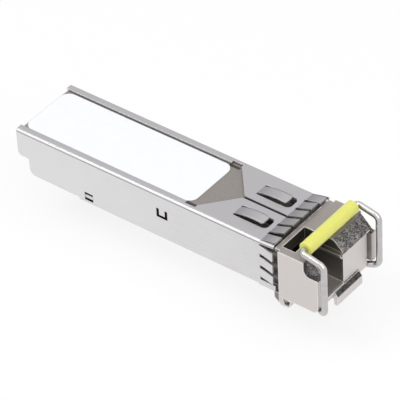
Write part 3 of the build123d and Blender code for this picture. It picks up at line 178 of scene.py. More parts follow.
class ShaderTree:
    """A material's node tree, filled by expressions and one node method."""

    def __init__(self, name: str) -> None:
        """Make an empty material.

        Args:
            name: The material's name.
        """
        self.material = bpy.data.materials.new(name)
        self.material.use_nodes = True
        self.nodes = self.material.node_tree.nodes
        self.links = self.material.node_tree.links
        self.nodes.clear()

    def node(
        self,
        kind: str,
        settings: dict[str, Any] | None = None,
        inputs: dict[Any, Any] | None = None,
        output: Any = 0,
    ) -> Socket:
        """Add one node.

        Args:
            kind: The node's type name.
            settings: Attributes that are set before anything is linked.
            inputs: Values or sockets by the input's name or number.
            output: The name or number of the output that is wanted.

        Returns:
            The wanted output.
        """
        made = self.nodes.new(kind)
        for key, value in (settings or {}).items():
            setattr(made, key, value)
        for key, value in (inputs or {}).items():
            target = made.inputs[key]
            if isinstance(value, Socket):
                self.links.new(value.link, target)
            else:
                target.default_value = value
        return Socket(self, made.outputs[output] if len(made.outputs) else None)

    def place(self) -> Socket:
        """Return the point on the piece, in its own coordinates."""
        return self.node("ShaderNodeTexCoord", output="Object")

    def axes(self, output: str = "Object") -> tuple[Socket, Socket, Socket]:
        """Return the three parts of the piece's own point or surface direction.

        Args:
            output: "Object" for the point in metres, "Normal" for the direction.

        Returns:
            The parts along X, Y and Z.
        """
        vector = self.node("ShaderNodeTexCoord", output=output)
        split = self.nodes.new("ShaderNodeSeparateXYZ")
        self.links.new(vector.link, split.inputs[0])
        return tuple(Socket(self, part) for part in split.outputs)

    def noise(
        self,
        per_mm: float,
        detail: float = 2.0,
        rough: float = 0.5,
        stretch: Triple = (1.0, 1.0, 1.0),
    ) -> Socket:
        """Add a noise pattern.

        Args:
            per_mm: How many features lie on one millimetre.
            detail: The number of finer layers.
            rough: The weight of the finer layers.
            stretch: How many times denser the pattern is along each axis.

        Returns:
            A value that wanders about one half.
        """
        mapped = self.node(
            "ShaderNodeMapping", inputs={"Vector": self.place(), "Scale": stretch}
        )
        return self.node(
            "ShaderNodeTexNoise",
            inputs={
                "Vector": mapped,
                "Scale": per_mm / MM,
                "Detail": detail,
                "Roughness": rough,
            },
        )

    def cells(self, per_mm: float) -> Socket:
        """Return a pattern of small cells, each with an even value from 0 to 1."""
        return self.node(
            "ShaderNodeTexVoronoi",
            {"feature": "F1"},
            {"Vector": self.place(), "Scale": per_mm / MM},
            output="Color",
        )

    def spread(
        self, value: Socket, low: float, high: float, start: float = 0.0, end: float = 1.0
    ) -> Socket:
        """Map a value's range to another and clamp it.

        Args:
            value: The value to map.
            low: The value that becomes start.
            high: The value that becomes end.
            start: The result at low.
            end: The result at high.

        Returns:
            The mapped value.
        """
        return self.node(
            "ShaderNodeMapRange",
            {"clamp": True},
            {"Value": value, "From Min": low, "From Max": high, "To Min": start, "To Max": end},
        )

    def band(self, value: Socket, edges: Band) -> Socket:
        """Return a mask that rises over the first span of values and falls over the last."""
        rising, falling = edges
        return self.spread(value, *rising) * self.spread(value, *falling, 1.0, 0.0)

    def along_box(self, along: Socket, box: Box, ends: Span) -> Socket:
        """Return a value that changes from a box's board end to its nose end."""
        return self.spread(along, box[0][0] * MM, box[1][0] * MM, *ends)

    def blend(self, factor: Any, first: Any, second: Any) -> Socket:
        """Mix two colours.

        Args:
            factor: A socket or a number, 0 for the first colour.
            first: A colour or socket.
            second: A colour or socket.

        Returns:
            The mixed colour.
        """
        colours = [c if isinstance(c, Socket) else (*c, 1.0) for c in (first, second)]
        return self.node(
            "ShaderNodeMix",
            {"data_type": "RGBA"},
            {0: factor, 6: colours[0], 7: colours[1]},
            output=2,
        )

    def blend_value(self, factor: Socket, first: float, second: float) -> Socket:
        """Return the first number at factor 0 and the second at factor 1."""
        return factor * (second - first) + first

    def bump(self, height: Socket, depth_mm: float, edge_mm: float = 0.0) -> Socket:
        """Add a bump, on softened edges where an edge size is given.

        Args:
            height: The height pattern, from 0 to 1.
            depth_mm: The depth of the pattern.
            edge_mm: The radius that softens sharp edges.

        Returns:
            The normal.
        """
        inputs: dict[Any, Any] = {"Height": height, "Distance": depth_mm * MM, "Strength": 1.0}
        if edge_mm:
            inputs["Normal"] = self.soft_edges(edge_mm)
        return self.node("ShaderNodeBump", inputs=inputs)

    def soft_edges(self, edge_mm: float) -> Socket:
        """Return a normal that rounds sharp edges with this radius."""
        return self.node("ShaderNodeBevel", {"samples": BEVEL_SAMPLES}, {"Radius": edge_mm * MM})

    def inside(self, box: Box, mirrored: bool = False) -> Socket:
        """Return 1 for points within a box.

        Args:
            box: The box's low and high corner, in millimetres.
            mirrored: Whether the box also stands on the other side.

        Returns:
            A mask.
        """
        mask: Any = 1.0
        along, across, above = self.axes()
        across = abs(across) if mirrored else across
        for axis, start, end in zip((along, across, above), *box):
            mask = (axis > start * MM) * (axis < end * MM) * mask
        return mask

    def edge_highlight_mask(self, edge_mm: float, reach: float) -> Socket:
        """Return 1 along sharp edges, where a painted highlight stands in for their glint.

        Args:
            edge_mm: The width of the highlighted edge.
            reach: How far the rounded normal turns away for the full effect.

        Returns:
            A mask.
        """
        true_normal = self.node("ShaderNodeNewGeometry", output="Normal")
        agree = self.node(
            "ShaderNodeVectorMath",
            {"operation": "DOT_PRODUCT"},
            {0: self.soft_edges(edge_mm), 1: true_normal},
            output="Value",
        )
        return self.spread(agree, 1.0 - reach, 1.0 - reach * HIGHLIGHT_FADE, 1.0, 0.0)

    def surface(self, **inputs: Any) -> bpy.types.Material:
        """Finish the material with one principled surface.

        Args:
            **inputs: Values or sockets, with underscores for the spaces in their names.

        Returns:
            The finished material.
        """
        named = {key.replace("_", " "): value for key, value in inputs.items()}
        colour = named.get("Base Color")
        if isinstance(colour, tuple) and len(colour) == 3:
            named["Base Color"] = (*colour, 1.0)
        shader = self.node("ShaderNodeBsdfPrincipled", inputs=named)
        self.node("ShaderNodeOutputMaterial", inputs={"Surface": shader})
        return self.material


@dataclass(frozen=True)
class CastFinish:
    """Die-cast and plated alloy: smoother upright faces painted lighter, duller tops painted
    darker as shade, and coarse slopes.
    """

    # Upright faces take a lighter tone and level tops a darker one: painted light and shade on a
    # smooth and a dull finish
    smooth_and_lit: Triple = (0.64, 0.595, 0.58)
    dull_and_shaded: Triple = (0.325, 0.292, 0.274)
    deck: Triple = (0.255, 0.229, 0.215)
    coarse_pale: Triple = (0.4, 0.38, 0.37)
    coarse_dark: Triple = (0.03, 0.028, 0.026)
    # The colour of the painted highlight along edges
    edge_highlight: Triple = (0.9, 0.88, 0.86)
    # The colour of painted shade in hollows, gaps and slits
    painted_shade: Triple = (0.068, 0.058, 0.045)

    upright_span: Span = (0.86, 0.96)
    level_span: Span = (0.9, 0.98)
    rising_span: Span = (0.05, 0.12)

    grain_per_mm: float = 5.0
    grain_step: float = 1.4
    grain_span: Span = (0.36, 0.66)
    grain_tint: float = 0.35
    cell_span: Span = (0.28, 0.72)
    cell_share: float = 0.62
    patch_step: float = 0.45
    patch_span: Span = (0.38, 0.66)
    patch_share: float = 0.38
    cloud_per_mm: float = 0.9
    cloud_span: Span = (0.35, 0.65)
    cloud_low: float = 0.55

    grain_depth: float = 0.014
    coarse_depth: float = 0.07
    upright_calm: float = 0.85
    edge: float = 0.09
    metal: float = 0.7
    rough_smooth: float = 0.36
    rough_dull: float = 0.55

    # Painted shade fills the port, neck, flanks, seam and reliefs, with painted light near the
    # port's floor; the cheek box marks coarse texture
    port: Box = ((40.0, -5.75, 1.4), (56.2, -0.35, 8.3))
    cheek: Box = ((53.9, 6.2, 6.0), (57.0, 7.0, 9.0))
    neck: Box = ((38.75, -9.0, -3.0), (49.36, 9.0, 8.42))
    flank: Box = ((1.0, 5.9, -1.0), (39.0, 6.45, 7.98))
    seam: Box = ((38.2, -0.14, 7.9), (45.8, 0.14, 8.6))
    relief: Box = ((31.4, 5.0, 7.9), (33.3, 5.55, 8.2))
    port_deep: float = 50.0
    hollow_shade: float = 0.97
    mouth_shade: float = 0.8
    neck_shade: float = 0.75
    floor_lit: float = 0.6
    wall_lit: float = 0.18
    lit_from: float = 3.4
    lit_to: float = 1.6

    # The painted highlight along edges: its width, reach, strength and how much painted shade
    # dims it
    highlight_width: float = 0.32
    highlight_reach: float = 0.12
    highlight_strength: float = 0.8
    highlight_in_shade: float = 0.6

    def textures(self, tree: ShaderTree) -> tuple[Socket, Socket, Socket]:
        """Add the patterns of the cast surface.

        Args:
            tree: The material's tree.

        Returns:
            The fine grain, the coarse speckle and the slow cloud, each about 0 to 1.
        """
        grain = tree.noise(self.grain_per_mm * self.grain_step, detail=3.0, rough=0.62)
        grain = tree.spread(grain, *self.grain_span)
        cells = tree.spread(tree.cells(self.grain_per_mm), *self.cell_span)
        patch = tree.noise(self.grain_per_mm * self.patch_step, detail=3.0, rough=0.7)
        patch = tree.spread(patch, *self.patch_span)
        coarse = cells * self.cell_share + patch * self.patch_share
        cloud = tree.noise(self.cloud_per_mm)
        return grain, coarse, tree.spread(cloud, *self.cloud_span, self.cloud_low, 1.0)

    def hollows(
        self, tree: ShaderTree, along: Socket, rise: Socket, level: Socket
    ) -> tuple[Socket, Socket, Socket]:
        """Add painted shade to the places that little light reaches.

        Args:
            tree: The material's tree.
            along: The place along the module.
            rise: The height.
            level: 1 on faces that lie level.

        Returns:
            The painted shade, and the flanks and seams in it, where no edge highlight is painted.
        """
        depth = tree.inside(self.port)
        neck = tree.inside(self.neck)
        flank = tree.inside(self.flank, mirrored=True)
        front = self.port[1][0] * MM
        deep = tree.spread(along, self.port_deep * MM, front, 1.0, self.mouth_shade)
        # Painted light: the painted shade lifts near the port's floor and lower walls
        lit = tree.spread(rise, self.lit_to * MM, self.lit_from * MM, 1.0, 0.0)
        deep = deep * (1.0 - lit * (level * self.floor_lit + self.wall_lit))
        seam = tree.inside(self.seam)
        seam = seam.larger(tree.inside(self.relief, mirrored=True))
        dark = (depth * deep).larger(neck * self.neck_shade).larger(flank).larger(seam)
        return dark * self.hollow_shade, flank, seam

    def make(self, name: str) -> bpy.types.Material:
        """Build the material.

        Args:
            name: The material's name.

        Returns:
            The material.
        """
        tree = ShaderTree(name)
        ahead, across, above = tree.axes("Normal")
        upright = tree.spread(abs(across).larger(abs(ahead)), *self.upright_span)
        level = tree.spread(above, *self.level_span)
        cheek = tree.inside(self.cheek, mirrored=True)
        rising = tree.spread(above, *self.rising_span)
        slope = ((1.0 - upright.larger(level)) * rising).larger(cheek)
        grain, coarse, cloud = self.textures(tree)
        along, _, rise = tree.axes()
        deck = tree.along_box(along, self.neck, (1.0, 0.0))
        # Painted shade: level tops start from the darker tone, and upright faces get the lighter
        # one below
        dull_and_shaded = tree.blend(deck, self.dull_and_shaded, self.deck)
        dull_and_shaded = tree.blend(grain * self.grain_tint, dull_and_shaded, self.coarse_pale)
        colour = tree.blend(upright, dull_and_shaded, self.smooth_and_lit)
        mottled = tree.blend(coarse * cloud, self.coarse_dark, self.coarse_pale)
        colour = tree.blend(slope, colour, mottled)
        dark, flank, seam = self.hollows(tree, along, rise, level)
        # Painted highlight along sharp edges, kept off the painted shade, the cheek, the flanks
        # and the seam
        edge_highlight = tree.edge_highlight_mask(self.highlight_width, self.highlight_reach)
        edge_highlight = edge_highlight * (1.0 - dark * self.highlight_in_shade) * (1.0 - cheek)
        edge_highlight = edge_highlight * (1.0 - flank.larger(seam))
        # Painted shade in the port, neck, flanks, seam and reliefs
        colour = tree.blend(dark, colour, self.painted_shade)
        colour = tree.blend(edge_highlight * self.highlight_strength, colour, self.edge_highlight)
        rough = tree.blend_value(upright, self.rough_dull, self.rough_smooth)
        height = grain * self.grain_depth * (1.0 - upright * self.upright_calm)
        height = height + coarse * slope * self.coarse_depth
        return tree.surface(
            Base_Color=colour,
            Metallic=self.metal,
            Roughness=rough,
            Normal=tree.bump(height, 1.0, self.edge),
        )


@dataclass(frozen=True)
class SheetFinish:
    """Rolled sheet: fine lines along the module, a slow change of tone, and painted light and
    shade.
    """

    tone: Triple = (0.64, 0.63, 0.632)
    # A paler tone that the lines, the cloud and the board end lean towards
    paler_tone: Triple = (0.76, 0.75, 0.752)
    # Level tops take darker tones than the sides: painted shade
    top: Triple = (0.43, 0.42, 0.437)
    top_line_shaded: Triple = (0.47, 0.46, 0.475)
    # The colour of the painted shade on bent fingers, leaves and folds
    bend_shade: Triple = (0.2, 0.195, 0.21)
    glint: Triple = (0.85, 0.84, 0.84)
    painted_shade: Triple = (0.012, 0.011, 0.01)

    line_per_mm: float = 9.0
    line_stretch: Triple = (0.04, 1.0, 1.0)
    line_span: Span = (0.35, 0.65)
    line_tint: float = 0.5
    cloud_per_mm: float = 0.12
    cloud_span: Span = (0.35, 0.7)
    cloud_tint: float = 0.35
    fade_start: float = 45.0
    fade_tint: float = 0.9

    square_on: float = 0.95
    level_span: Span = (0.84, 0.97)
    # Painted shade in bands either side of each fold, and a painted highlight on it
    lower_bend: Band = ((0.03, 0.08), (0.3, 0.42))
    upper_bend: Band = ((0.7, 0.78), (0.95, 0.98))
    upper_share: float = 0.6
    bend_shade_share: float = 0.7
    glint_bend: Band = ((0.48, 0.56), (0.64, 0.72))

    # Painted shade on the fingers' and leaves' bends, fading towards their tips
    finger: Box = ((45.9, -6.6, 7.8), (48.9, 6.6, 9.8))
    finger_shades: Span = (0.75, 0.1)
    leaf: Box = ((39.02, 1.9, 8.0), (44.6, 3.8, 9.8))
    leaf_shades: Span = (0.5, -0.1)
    lance_end: float = 16.0
    # Painted shade in gaps, along the seam, at the leaves' edges and at the slits' lips
    gap: Box = ((0.6, 5.8, 0.35), (42.0, 6.68, 8.0))
    seam: Box = ((36.0, -1.0, 7.9), (45.7, 0.24, 8.8))
    seam_shade: float = 0.8
    leaf_edges: tuple[Box, ...] = (
        ((39.2, -2.08, 8.4), (44.2, -1.9, 9.8)),
        ((39.2, 3.61, 8.4), (44.2, 3.8, 9.8)),
    )
    leaf_edge_shade: float = 0.65
    slit_lips: tuple[Box, ...] = (
        ((12.7, 5.9, 1.6), (14.5, 6.55, 1.97)),
        ((26.7, 6.0, 4.06), (27.2, 6.8, 5.7)),
        ((28.25, 6.0, 4.06), (28.75, 6.8, 5.7)),
        ((26.7, 6.0, 4.06), (28.75, 6.8, 4.55)),
    )
    lip_shade: float = 0.95

    line_depth: float = 0.0012
    edge: float = 0.11
    metal: float = 0.85
    rough_ends: Span = (0.46, 0.35)

    def gaps(self, tree: ShaderTree, facing: Socket) -> Socket:
        """Add painted shade in slits, under leaves and along the middle seam.

        Args:
            tree: The material's tree.
            facing: 1 on faces that are seen square on.

        Returns:
            A mask of the painted shade.
        """
        gap = tree.inside(self.gap, mirrored=True) * (1.0 - facing)
        gap = gap * self.lip_shade
        gap = gap.larger(tree.inside(self.seam, mirrored=True) * self.seam_shade)
        for box in self.leaf_edges:
            gap = gap.larger(tree.inside(box) * self.leaf_edge_shade)
        for box in self.slit_lips:
            gap = gap.larger(tree.inside(box, mirrored=True) * self.lip_shade)
        return gap

    def make(self, name: str) -> bpy.types.Material:
        """Build the material.

        Args:
            name: The material's name.

        Returns:
            The material.
        """
        tree = ShaderTree(name)
        lines = tree.noise(self.line_per_mm, rough=0.6, stretch=self.line_stretch)
        cloud = tree.noise(self.cloud_per_mm, detail=3.0, rough=0.55)
        lined = tree.spread(lines, *self.line_span, 0.0, self.line_tint)
        colour = tree.blend(lined, self.tone, self.paler_tone)
        clouded = tree.spread(cloud, *self.cloud_span, 0.0, self.cloud_tint)
        colour = tree.blend(clouded, colour, self.paler_tone)
        along, _, _ = tree.axes()
        ahead, sideways, above = tree.axes("Normal")
        ends = (abs(ahead) > self.square_on) * (along < self.lance_end * MM)
        facing = (abs(sideways) > self.square_on).larger(ends)
        # Paler towards the board end
        fade = tree.spread(along, self.fade_start * MM, 0.0, 0.0, self.fade_tint)
        colour = tree.blend(fade, colour, self.paler_tone)
        level = tree.spread(above, *self.level_span)
        # Painted shade: level faces take the darker top tones
        colour = tree.blend(level, colour, tree.blend(lines, self.top, self.top_line_shaded))
        # Painted shade on the bent fingers and leaves
        shade = level * tree.inside(self.finger)
        shade = shade * tree.along_box(along, self.finger, self.finger_shades)
        leaf = level * tree.inside(self.leaf, mirrored=True)
        leaf = leaf * tree.along_box(along, self.leaf, self.leaf_shades)
        colour = tree.blend(shade.larger(leaf), colour, self.bend_shade)
        # Painted shade in dark bands either side of each fold, standing in for its reflection
        lower = tree.band(above, self.lower_bend)
        upper = tree.band(above, self.upper_bend)
        bend = (lower + upper * self.upper_share) * self.bend_shade_share
        colour = tree.blend(bend, colour, self.bend_shade)
        # Painted highlight along each fold
        colour = tree.blend(tree.band(above, self.glint_bend), colour, self.glint)
        # Painted shade in slits, under leaves and along the seam
        colour = tree.blend(self.gaps(tree, facing), colour, self.painted_shade)
        return tree.surface(
            Base_Color=colour,
            Metallic=self.metal,
            Roughness=tree.spread(cloud, *NOISE_MIDDLE, *self.rough_ends),
            Normal=tree.bump(lines, self.line_depth, self.edge),
        )


@dataclass(frozen=True)
class SmoothFinish:
    """A plain finish with a faint mottle, for plastics, plating, ceramic and rubber."""

    tone: Triple
    mottle: Triple
    mottle_per_mm: float = 2.0
    depth: float = 0.001
    roughness: float = 0.4
    rough_swing: float = 0.12
    metal: float = 0.0
    edge: float = 0.05
    coat: float = 0.0
    glow_through: float = 0.0
    glow_reach: float = 0.4

    def make(self, name: str) -> bpy.types.Material:
        """Build the material.

        Args:
            name: The material's name.

        Returns:
            The material.
        """
        tree = ShaderTree(name)
        mottle = tree.noise(self.mottle_per_mm, detail=3.0)
        colour = tree.blend(tree.spread(mottle, *NOISE_MIDDLE), self.tone, self.mottle)
        swing = self.roughness * self.rough_swing
        rough = tree.spread(mottle, *NOISE_MIDDLE, self.roughness - swing, self.roughness + swing)
        return tree.surface(
            Base_Color=colour,
            Metallic=self.metal,
            Roughness=rough,
            Coat_Weight=self.coat,
            Subsurface_Weight=self.glow_through,
            Subsurface_Scale=self.glow_reach * MM,
            Normal=tree.bump(mottle, self.depth, self.edge),
        )


@dataclass(frozen=True)
class BoardFinish:
    """Solder mask over copper: tracks show as slightly lighter, raised lines."""

    mask: Triple = (0.012, 0.1, 0.045)
    track: Triple = (0.03, 0.2, 0.09)
    track_pitch: float = 0.8
    track_span: Span = (0.2, 0.26)
    track_depth: float = 0.02
    wander_per_mm: float = 0.5
    wander: float = 0.25
    weave_per_mm: float = 6.0
    rough_ends: Span = (0.28, 0.4)

    def make(self, name: str) -> bpy.types.Material:
        """Build the material.

        Args:
            name: The material's name.

        Returns:
            The material.
        """
        tree = ShaderTree(name)
        split = tree.node("ShaderNodeSeparateXYZ", inputs={0: tree.place()}, output="Y")
        wave = tree.node(
            "ShaderNodeMath",
            {"operation": "PINGPONG"},
            {0: split / MM, 1: self.track_pitch / 2},
        )
        wander = tree.noise(self.wander_per_mm, detail=1.0) * self.wander
        line = tree.spread(wave + wander, *self.track_span)
        weave = tree.noise(self.weave_per_mm)
        colour = tree.blend(line, self.mask, self.track)
        return tree.surface(
            Base_Color=colour,
            Roughness=tree.spread(weave, *NOISE_MIDDLE, *self.rough_ends),
            Normal=tree.bump(line, self.track_depth),
        )


@dataclass(frozen=True)
class GlassFinish:
    """Thin coated glass inside the optical block."""

    tint: Triple = (0.75, 0.85, 0.95)
    roughness: float = 0.04
    clearness: float = 0.8
    index: float = 1.5

    def make(self, name: str) -> bpy.types.Material:
        """Build the material with this name."""
        return ShaderTree(name).surface(
            Base_Color=self.tint,
            Roughness=self.roughness,
            Transmission_Weight=self.clearness,
            IOR=self.index,
        )


@dataclass(frozen=True)
class FloorFinish:
    """A pale floor that reads as white paper and keeps the module's soft shadow."""

    tone: Triple = (0.9, 0.9, 0.9)
    lift: float = 0.84

    def make(self, name: str) -> bpy.types.Material:
        """Build the material.

        Args:
            name: The material's name.

        Returns:
            The material.
        """
        tree = ShaderTree(name)
        rays = [
            tree.node("ShaderNodeLightPath", output=kind)
            for kind in ("Is Camera Ray", "Is Glossy Ray", "Is Transmission Ray")
        ]
        seen = rays[0] + rays[1] + rays[2]
        paper = tree.node("ShaderNodeBsdfDiffuse", inputs={"Color": (*self.tone, 1.0)})
        glow = tree.node("ShaderNodeEmission", inputs={"Color": (1, 1, 1, 1), "Strength": 1.0})
        mixed = tree.node("ShaderNodeMixShader", inputs={0: seen * self.lift, 1: paper, 2: glow})
        tree.node("ShaderNodeOutputMaterial", inputs={"Surface": mixed})
        return tree.material


FINISHES: dict[Role, Any] = {
    Role.CAST: CastFinish(),
    Role.LEVER: CastFinish(
        coarse_pale=(0.13, 0.123, 0.117),
        coarse_dark=(0.02, 0.018, 0.017),
        port=NOWHERE,
        neck=NOWHERE,
        flank=NOWHERE,
        seam=NOWHERE,
    ),
    Role.SHEET: SheetFinish(),
    Role.LABEL: SmoothFinish(
        tone=(0.86, 0.875, 0.91), mottle=(0.84, 0.855, 0.89),
        mottle_per_mm=0.8, roughness=0.42,
    ),
    Role.WIRE: SmoothFinish(
        tone=(0.57, 0.557, 0.553), mottle=(0.5, 0.488, 0.486),
        mottle_per_mm=1.2, roughness=0.15, metal=1.0, edge=0.0,
    ),
    Role.GRIP: SmoothFinish(
        tone=(0.74, 0.735, 0.16), mottle=(0.72, 0.715, 0.15),
        mottle_per_mm=1.0, roughness=0.34, edge=0.06, coat=0.2, glow_through=0.15,
    ),
    Role.BOARD: BoardFinish(),
    Role.GOLD: SmoothFinish(
        tone=(0.83, 0.6, 0.26), mottle=(0.78, 0.55, 0.22),
        mottle_per_mm=3.0, roughness=0.22, metal=1.0, edge=0.0,
    ),
    Role.EPOXY: SmoothFinish(
        tone=(0.02, 0.02, 0.022), mottle=(0.03, 0.03, 0.032),
        mottle_per_mm=8.0, depth=0.006, roughness=0.5,
    ),
    Role.CERAMIC_CHIP: SmoothFinish(
        tone=(0.36, 0.24, 0.14), mottle=(0.42, 0.29, 0.18),
        mottle_per_mm=5.0, depth=0.002,
    ),
    Role.SOLDER: SmoothFinish(
        tone=(0.62, 0.62, 0.63), mottle=(0.5, 0.5, 0.52),
        mottle_per_mm=6.0, depth=0.004, roughness=0.25, metal=1.0, edge=0.0,
    ),
    Role.TURNED: SmoothFinish(
        tone=(0.55, 0.55, 0.55), mottle=(0.48, 0.48, 0.48),
        mottle_per_mm=4.0, roughness=0.25, metal=1.0,
    ),
    Role.GLASS: GlassFinish(),
    Role.FLEX: SmoothFinish(
        tone=(0.42, 0.17, 0.03), mottle=(0.36, 0.14, 0.02),
        roughness=0.3, edge=0.0, coat=0.4,
    ),
    Role.ZIRCONIA: SmoothFinish(
        tone=(0.85, 0.85, 0.82), mottle=(0.8, 0.8, 0.77),
        mottle_per_mm=1.0, depth=0.0, roughness=0.18, edge=0.03,
    ),
    Role.GASKET: SmoothFinish(
        tone=(0.06, 0.06, 0.06), mottle=(0.09, 0.09, 0.09),
        mottle_per_mm=6.0, depth=0.01, roughness=0.7,
    ),
    Role.FLOOR: FloorFinish(),
}


def add_object(name: str, data: bpy.types.ID) -> bpy.types.Object:
    """Make an object and link it to the scene.

    Args:
        name: The object's name.
        data: The mesh, light or camera that it shows.

    Returns:
        The object.
    """
    made = bpy.data.objects.new(name, data)
    bpy.context.collection.objects.link(made)
    return made


def direction(azimuth: float, elevation: float) -> Vector:
    """Return the unit vector at an angle from the -Y side and one above the floor."""
    turn, rise = math.radians(azimuth), math.radians(elevation)
    return Vector(
        (math.sin(turn) * math.cos(rise), -math.cos(turn) * math.cos(rise), math.sin(rise))
    )


class Finishes:
    """Makes each finish once and hands it out."""

    def __init__(self) -> None:
        """Start with no material made."""
        self.made: dict[Role, bpy.types.Material] = {}

    def get(self, role: Role) -> bpy.types.Material:
        """Return the material of a role, made on first use.

        Args:
            role: The finish that is wanted.

        Returns:
            The material.
        """
        if role not in self.made:
            self.made[role] = FINISHES[role].make(role.value)
        return self.made[role]

    def dress(self, obj: bpy.types.Object, role: Role) -> bpy.types.Object:
        """Give a whole object one finish through its material slots.

        Args:
            obj: The object to dress.
            role: The finish.

        Returns:
            The same object.
        """
        material = self.get(role)
        if not obj.material_slots:
            obj.data.materials.append(material)
        for slot in obj.material_slots:
            slot.material = material
        return obj


class GeometryTree:
    """A Geometry Nodes tree that is built, applied once and turned into a plain mesh."""

    def __init__(self, name: str) -> None:
        """Start a tree with a geometry output.

        Args:
            name: The tree's name.
        """
        self.group = bpy.data.node_groups.new(name, "GeometryNodeTree")
        self.group.interface.new_socket(
            "Geometry", in_out="OUTPUT", socket_type="NodeSocketGeometry"
        )
        self.entry = self.group.nodes.new("NodeGroupInput")
        self.values: dict[str, Any] = {}

    def size(self, name: str, value: Any, kind: str = "NodeSocketFloat") -> bpy.types.NodeSocket:
        """Add a named input and return it for linking.

        Args:
            name: The input's name.
            value: The value that the modifier is given.
            kind: The socket's type name.

        Returns:
            The group's input as a socket inside the tree.
        """
        made = self.group.interface.new_socket(name, in_out="INPUT", socket_type=kind)
        self.values[made.identifier] = value
        return self.entry.outputs[name]

    def node(
        self,
        kind: str,
        settings: dict[str, Any] | None = None,
        inputs: dict[Any, Any] | None = None,
    ) -> bpy.types.Node:
        """Add one node with its settings, values and links.

        Args:
            kind: The node's type name.
            settings: Attributes that are set first.
            inputs: Values or output sockets by input name or number.

        Returns:
            The node.
        """
        made = self.group.nodes.new(kind)
        for key, value in (settings or {}).items():
            setattr(made, key, value)
        for key, value in (inputs or {}).items():
            if isinstance(value, bpy.types.NodeSocket):
                self.group.links.new(value, made.inputs[key])
            else:
                made.inputs[key].default_value = value
        return made

    def close(self, geometry: bpy.types.NodeSocket, material: bpy.types.Material) -> None:
        """End the tree in real geometry with its material.

        Args:
            geometry: The geometry to end with.
            material: The material that every face gets.
        """
        real = self.node("GeometryNodeRealizeInstances", inputs={0: geometry})
        dressed = self.node(
            "GeometryNodeSetMaterial", inputs={"Geometry": real.outputs[0], "Material": material}
        )
        end = self.group.nodes.new("NodeGroupOutput")
        self.group.links.new(dressed.outputs[0], end.inputs[0])

    def make(self, name: str, points: Sequence[Vector]) -> bpy.types.Object:
        """Run the tree on a set of points and return a plain mesh object.

        Args:
            name: The object's name.
            points: The points that carry the copies, in millimetres.

        Returns:
            The finished object.
        """
        seed = bpy.data.meshes.new(name + "_points")
        seed.from_pydata([point * MM for point in points], [], [])
        carrier = add_object(name + "_carrier", seed)
        modifier = carrier.modifiers.new("make", "NODES")
        modifier.node_group = self.group
        for identifier, value in self.values.items():
            if value is not None:
                modifier[identifier] = value
        evaluated = carrier.evaluated_get(bpy.context.evaluated_depsgraph_get())
        mesh = bpy.data.meshes.new_from_object(evaluated)
        mesh.name = name
        made = add_object(name, mesh)
        bpy.data.objects.remove(carrier)
        return made


def copies(
    name: str,
    places: Sequence[Vector],
    size: Triple,
    rounding: float,
    material: bpy.types.Material,
) -> bpy.types.Object:
    """Set one small rounded block on each place through Geometry Nodes.

    Args:
        name: The object's name.
        places: The centres of the blocks, in millimetres.
        size: The block's length, width and height, in millimetres.
        rounding: The share of the height by which the top edges draw in.
        material: The finish of every block.

    Returns:
        One plain mesh with all the blocks.
    """
    tree = GeometryTree(name)
    points = tree.size("Points", None, "NodeSocketGeometry")
    block_size = tree.size("Block size", [edge * MM for edge in size], "NodeSocketVector")
    draw_in = tree.size("Draw in", 1.0 - rounding)
    block = tree.node("GeometryNodeMeshCube", inputs={"Size": block_size})
    position = tree.node("GeometryNodeInputPosition")
    split = tree.node("ShaderNodeSeparateXYZ", inputs={0: position.outputs[0]})
    above = tree.node(
        "FunctionNodeCompare",
        {"operation": "GREATER_THAN"},
        {0: split.outputs["Z"], 1: 0.0},
    )
    smaller = tree.node(
        "ShaderNodeVectorMath",
        {"operation": "SCALE"},
        {0: position.outputs[0], "Scale": draw_in},
    )
    flat = tree.node("ShaderNodeSeparateXYZ", inputs={0: smaller.outputs[0]})
    joined = tree.node(
        "ShaderNodeCombineXYZ",
        inputs={0: flat.outputs["X"], 1: flat.outputs["Y"], 2: split.outputs["Z"]},
    )
    shaped = tree.node(
        "GeometryNodeSetPosition",
        inputs={
            "Geometry": block.outputs["Mesh"],
            "Selection": above.outputs[0],
            "Position": joined.outputs[0],
        },
    )
    spread = tree.node(
        "GeometryNodeInstanceOnPoints",
        inputs={"Points": points, "Instance": shaped.outputs[0]},
    )
    tree.close(spread.outputs[0], material)
    return tree.make(name, places)


def welded(obj: bpy.types.Object) -> bmesh.types.BMesh:
    """Return a copy of an object's mesh with its doubled vertices joined.

    Args:
        obj: The object, which stays as it is.

    Returns:
        The working mesh, which the caller frees.
    """
    work = bmesh.new()
    work.from_mesh(obj.data)
    bmesh.ops.remove_doubles(work, verts=work.verts, dist=WELD_REACH)
    return work


def separate_boxes(obj: bpy.types.Object) -> list[tuple[Vector, Vector]]:
    """Return the box of each separate body in a node's mesh.

    Args:
        obj: The node's object, which stays as it is.

    Returns:
        The lowest and highest corner of each body, in millimetres, from the board end on.
    """
    work = welded(obj)
    boxes = []
    waiting = set(work.verts)
    while waiting:
        frontier = [waiting.pop()]
        body = list(frontier)
        while frontier:
            vertex = frontier.pop()
            for link in vertex.link_edges:
                other = link.other_vert(vertex)
                if other in waiting:
                    waiting.remove(other)
                    frontier.append(other)
                    body.append(other)
        low = Vector([min(v.co[axis] for v in body) for axis in range(3)])
        high = Vector([max(v.co[axis] for v in body) for axis in range(3)])
        boxes.append((low / MM, high / MM))
    work.free()
    return sorted(boxes, key=lambda box: tuple(round(number, 4) for number in box[0]))


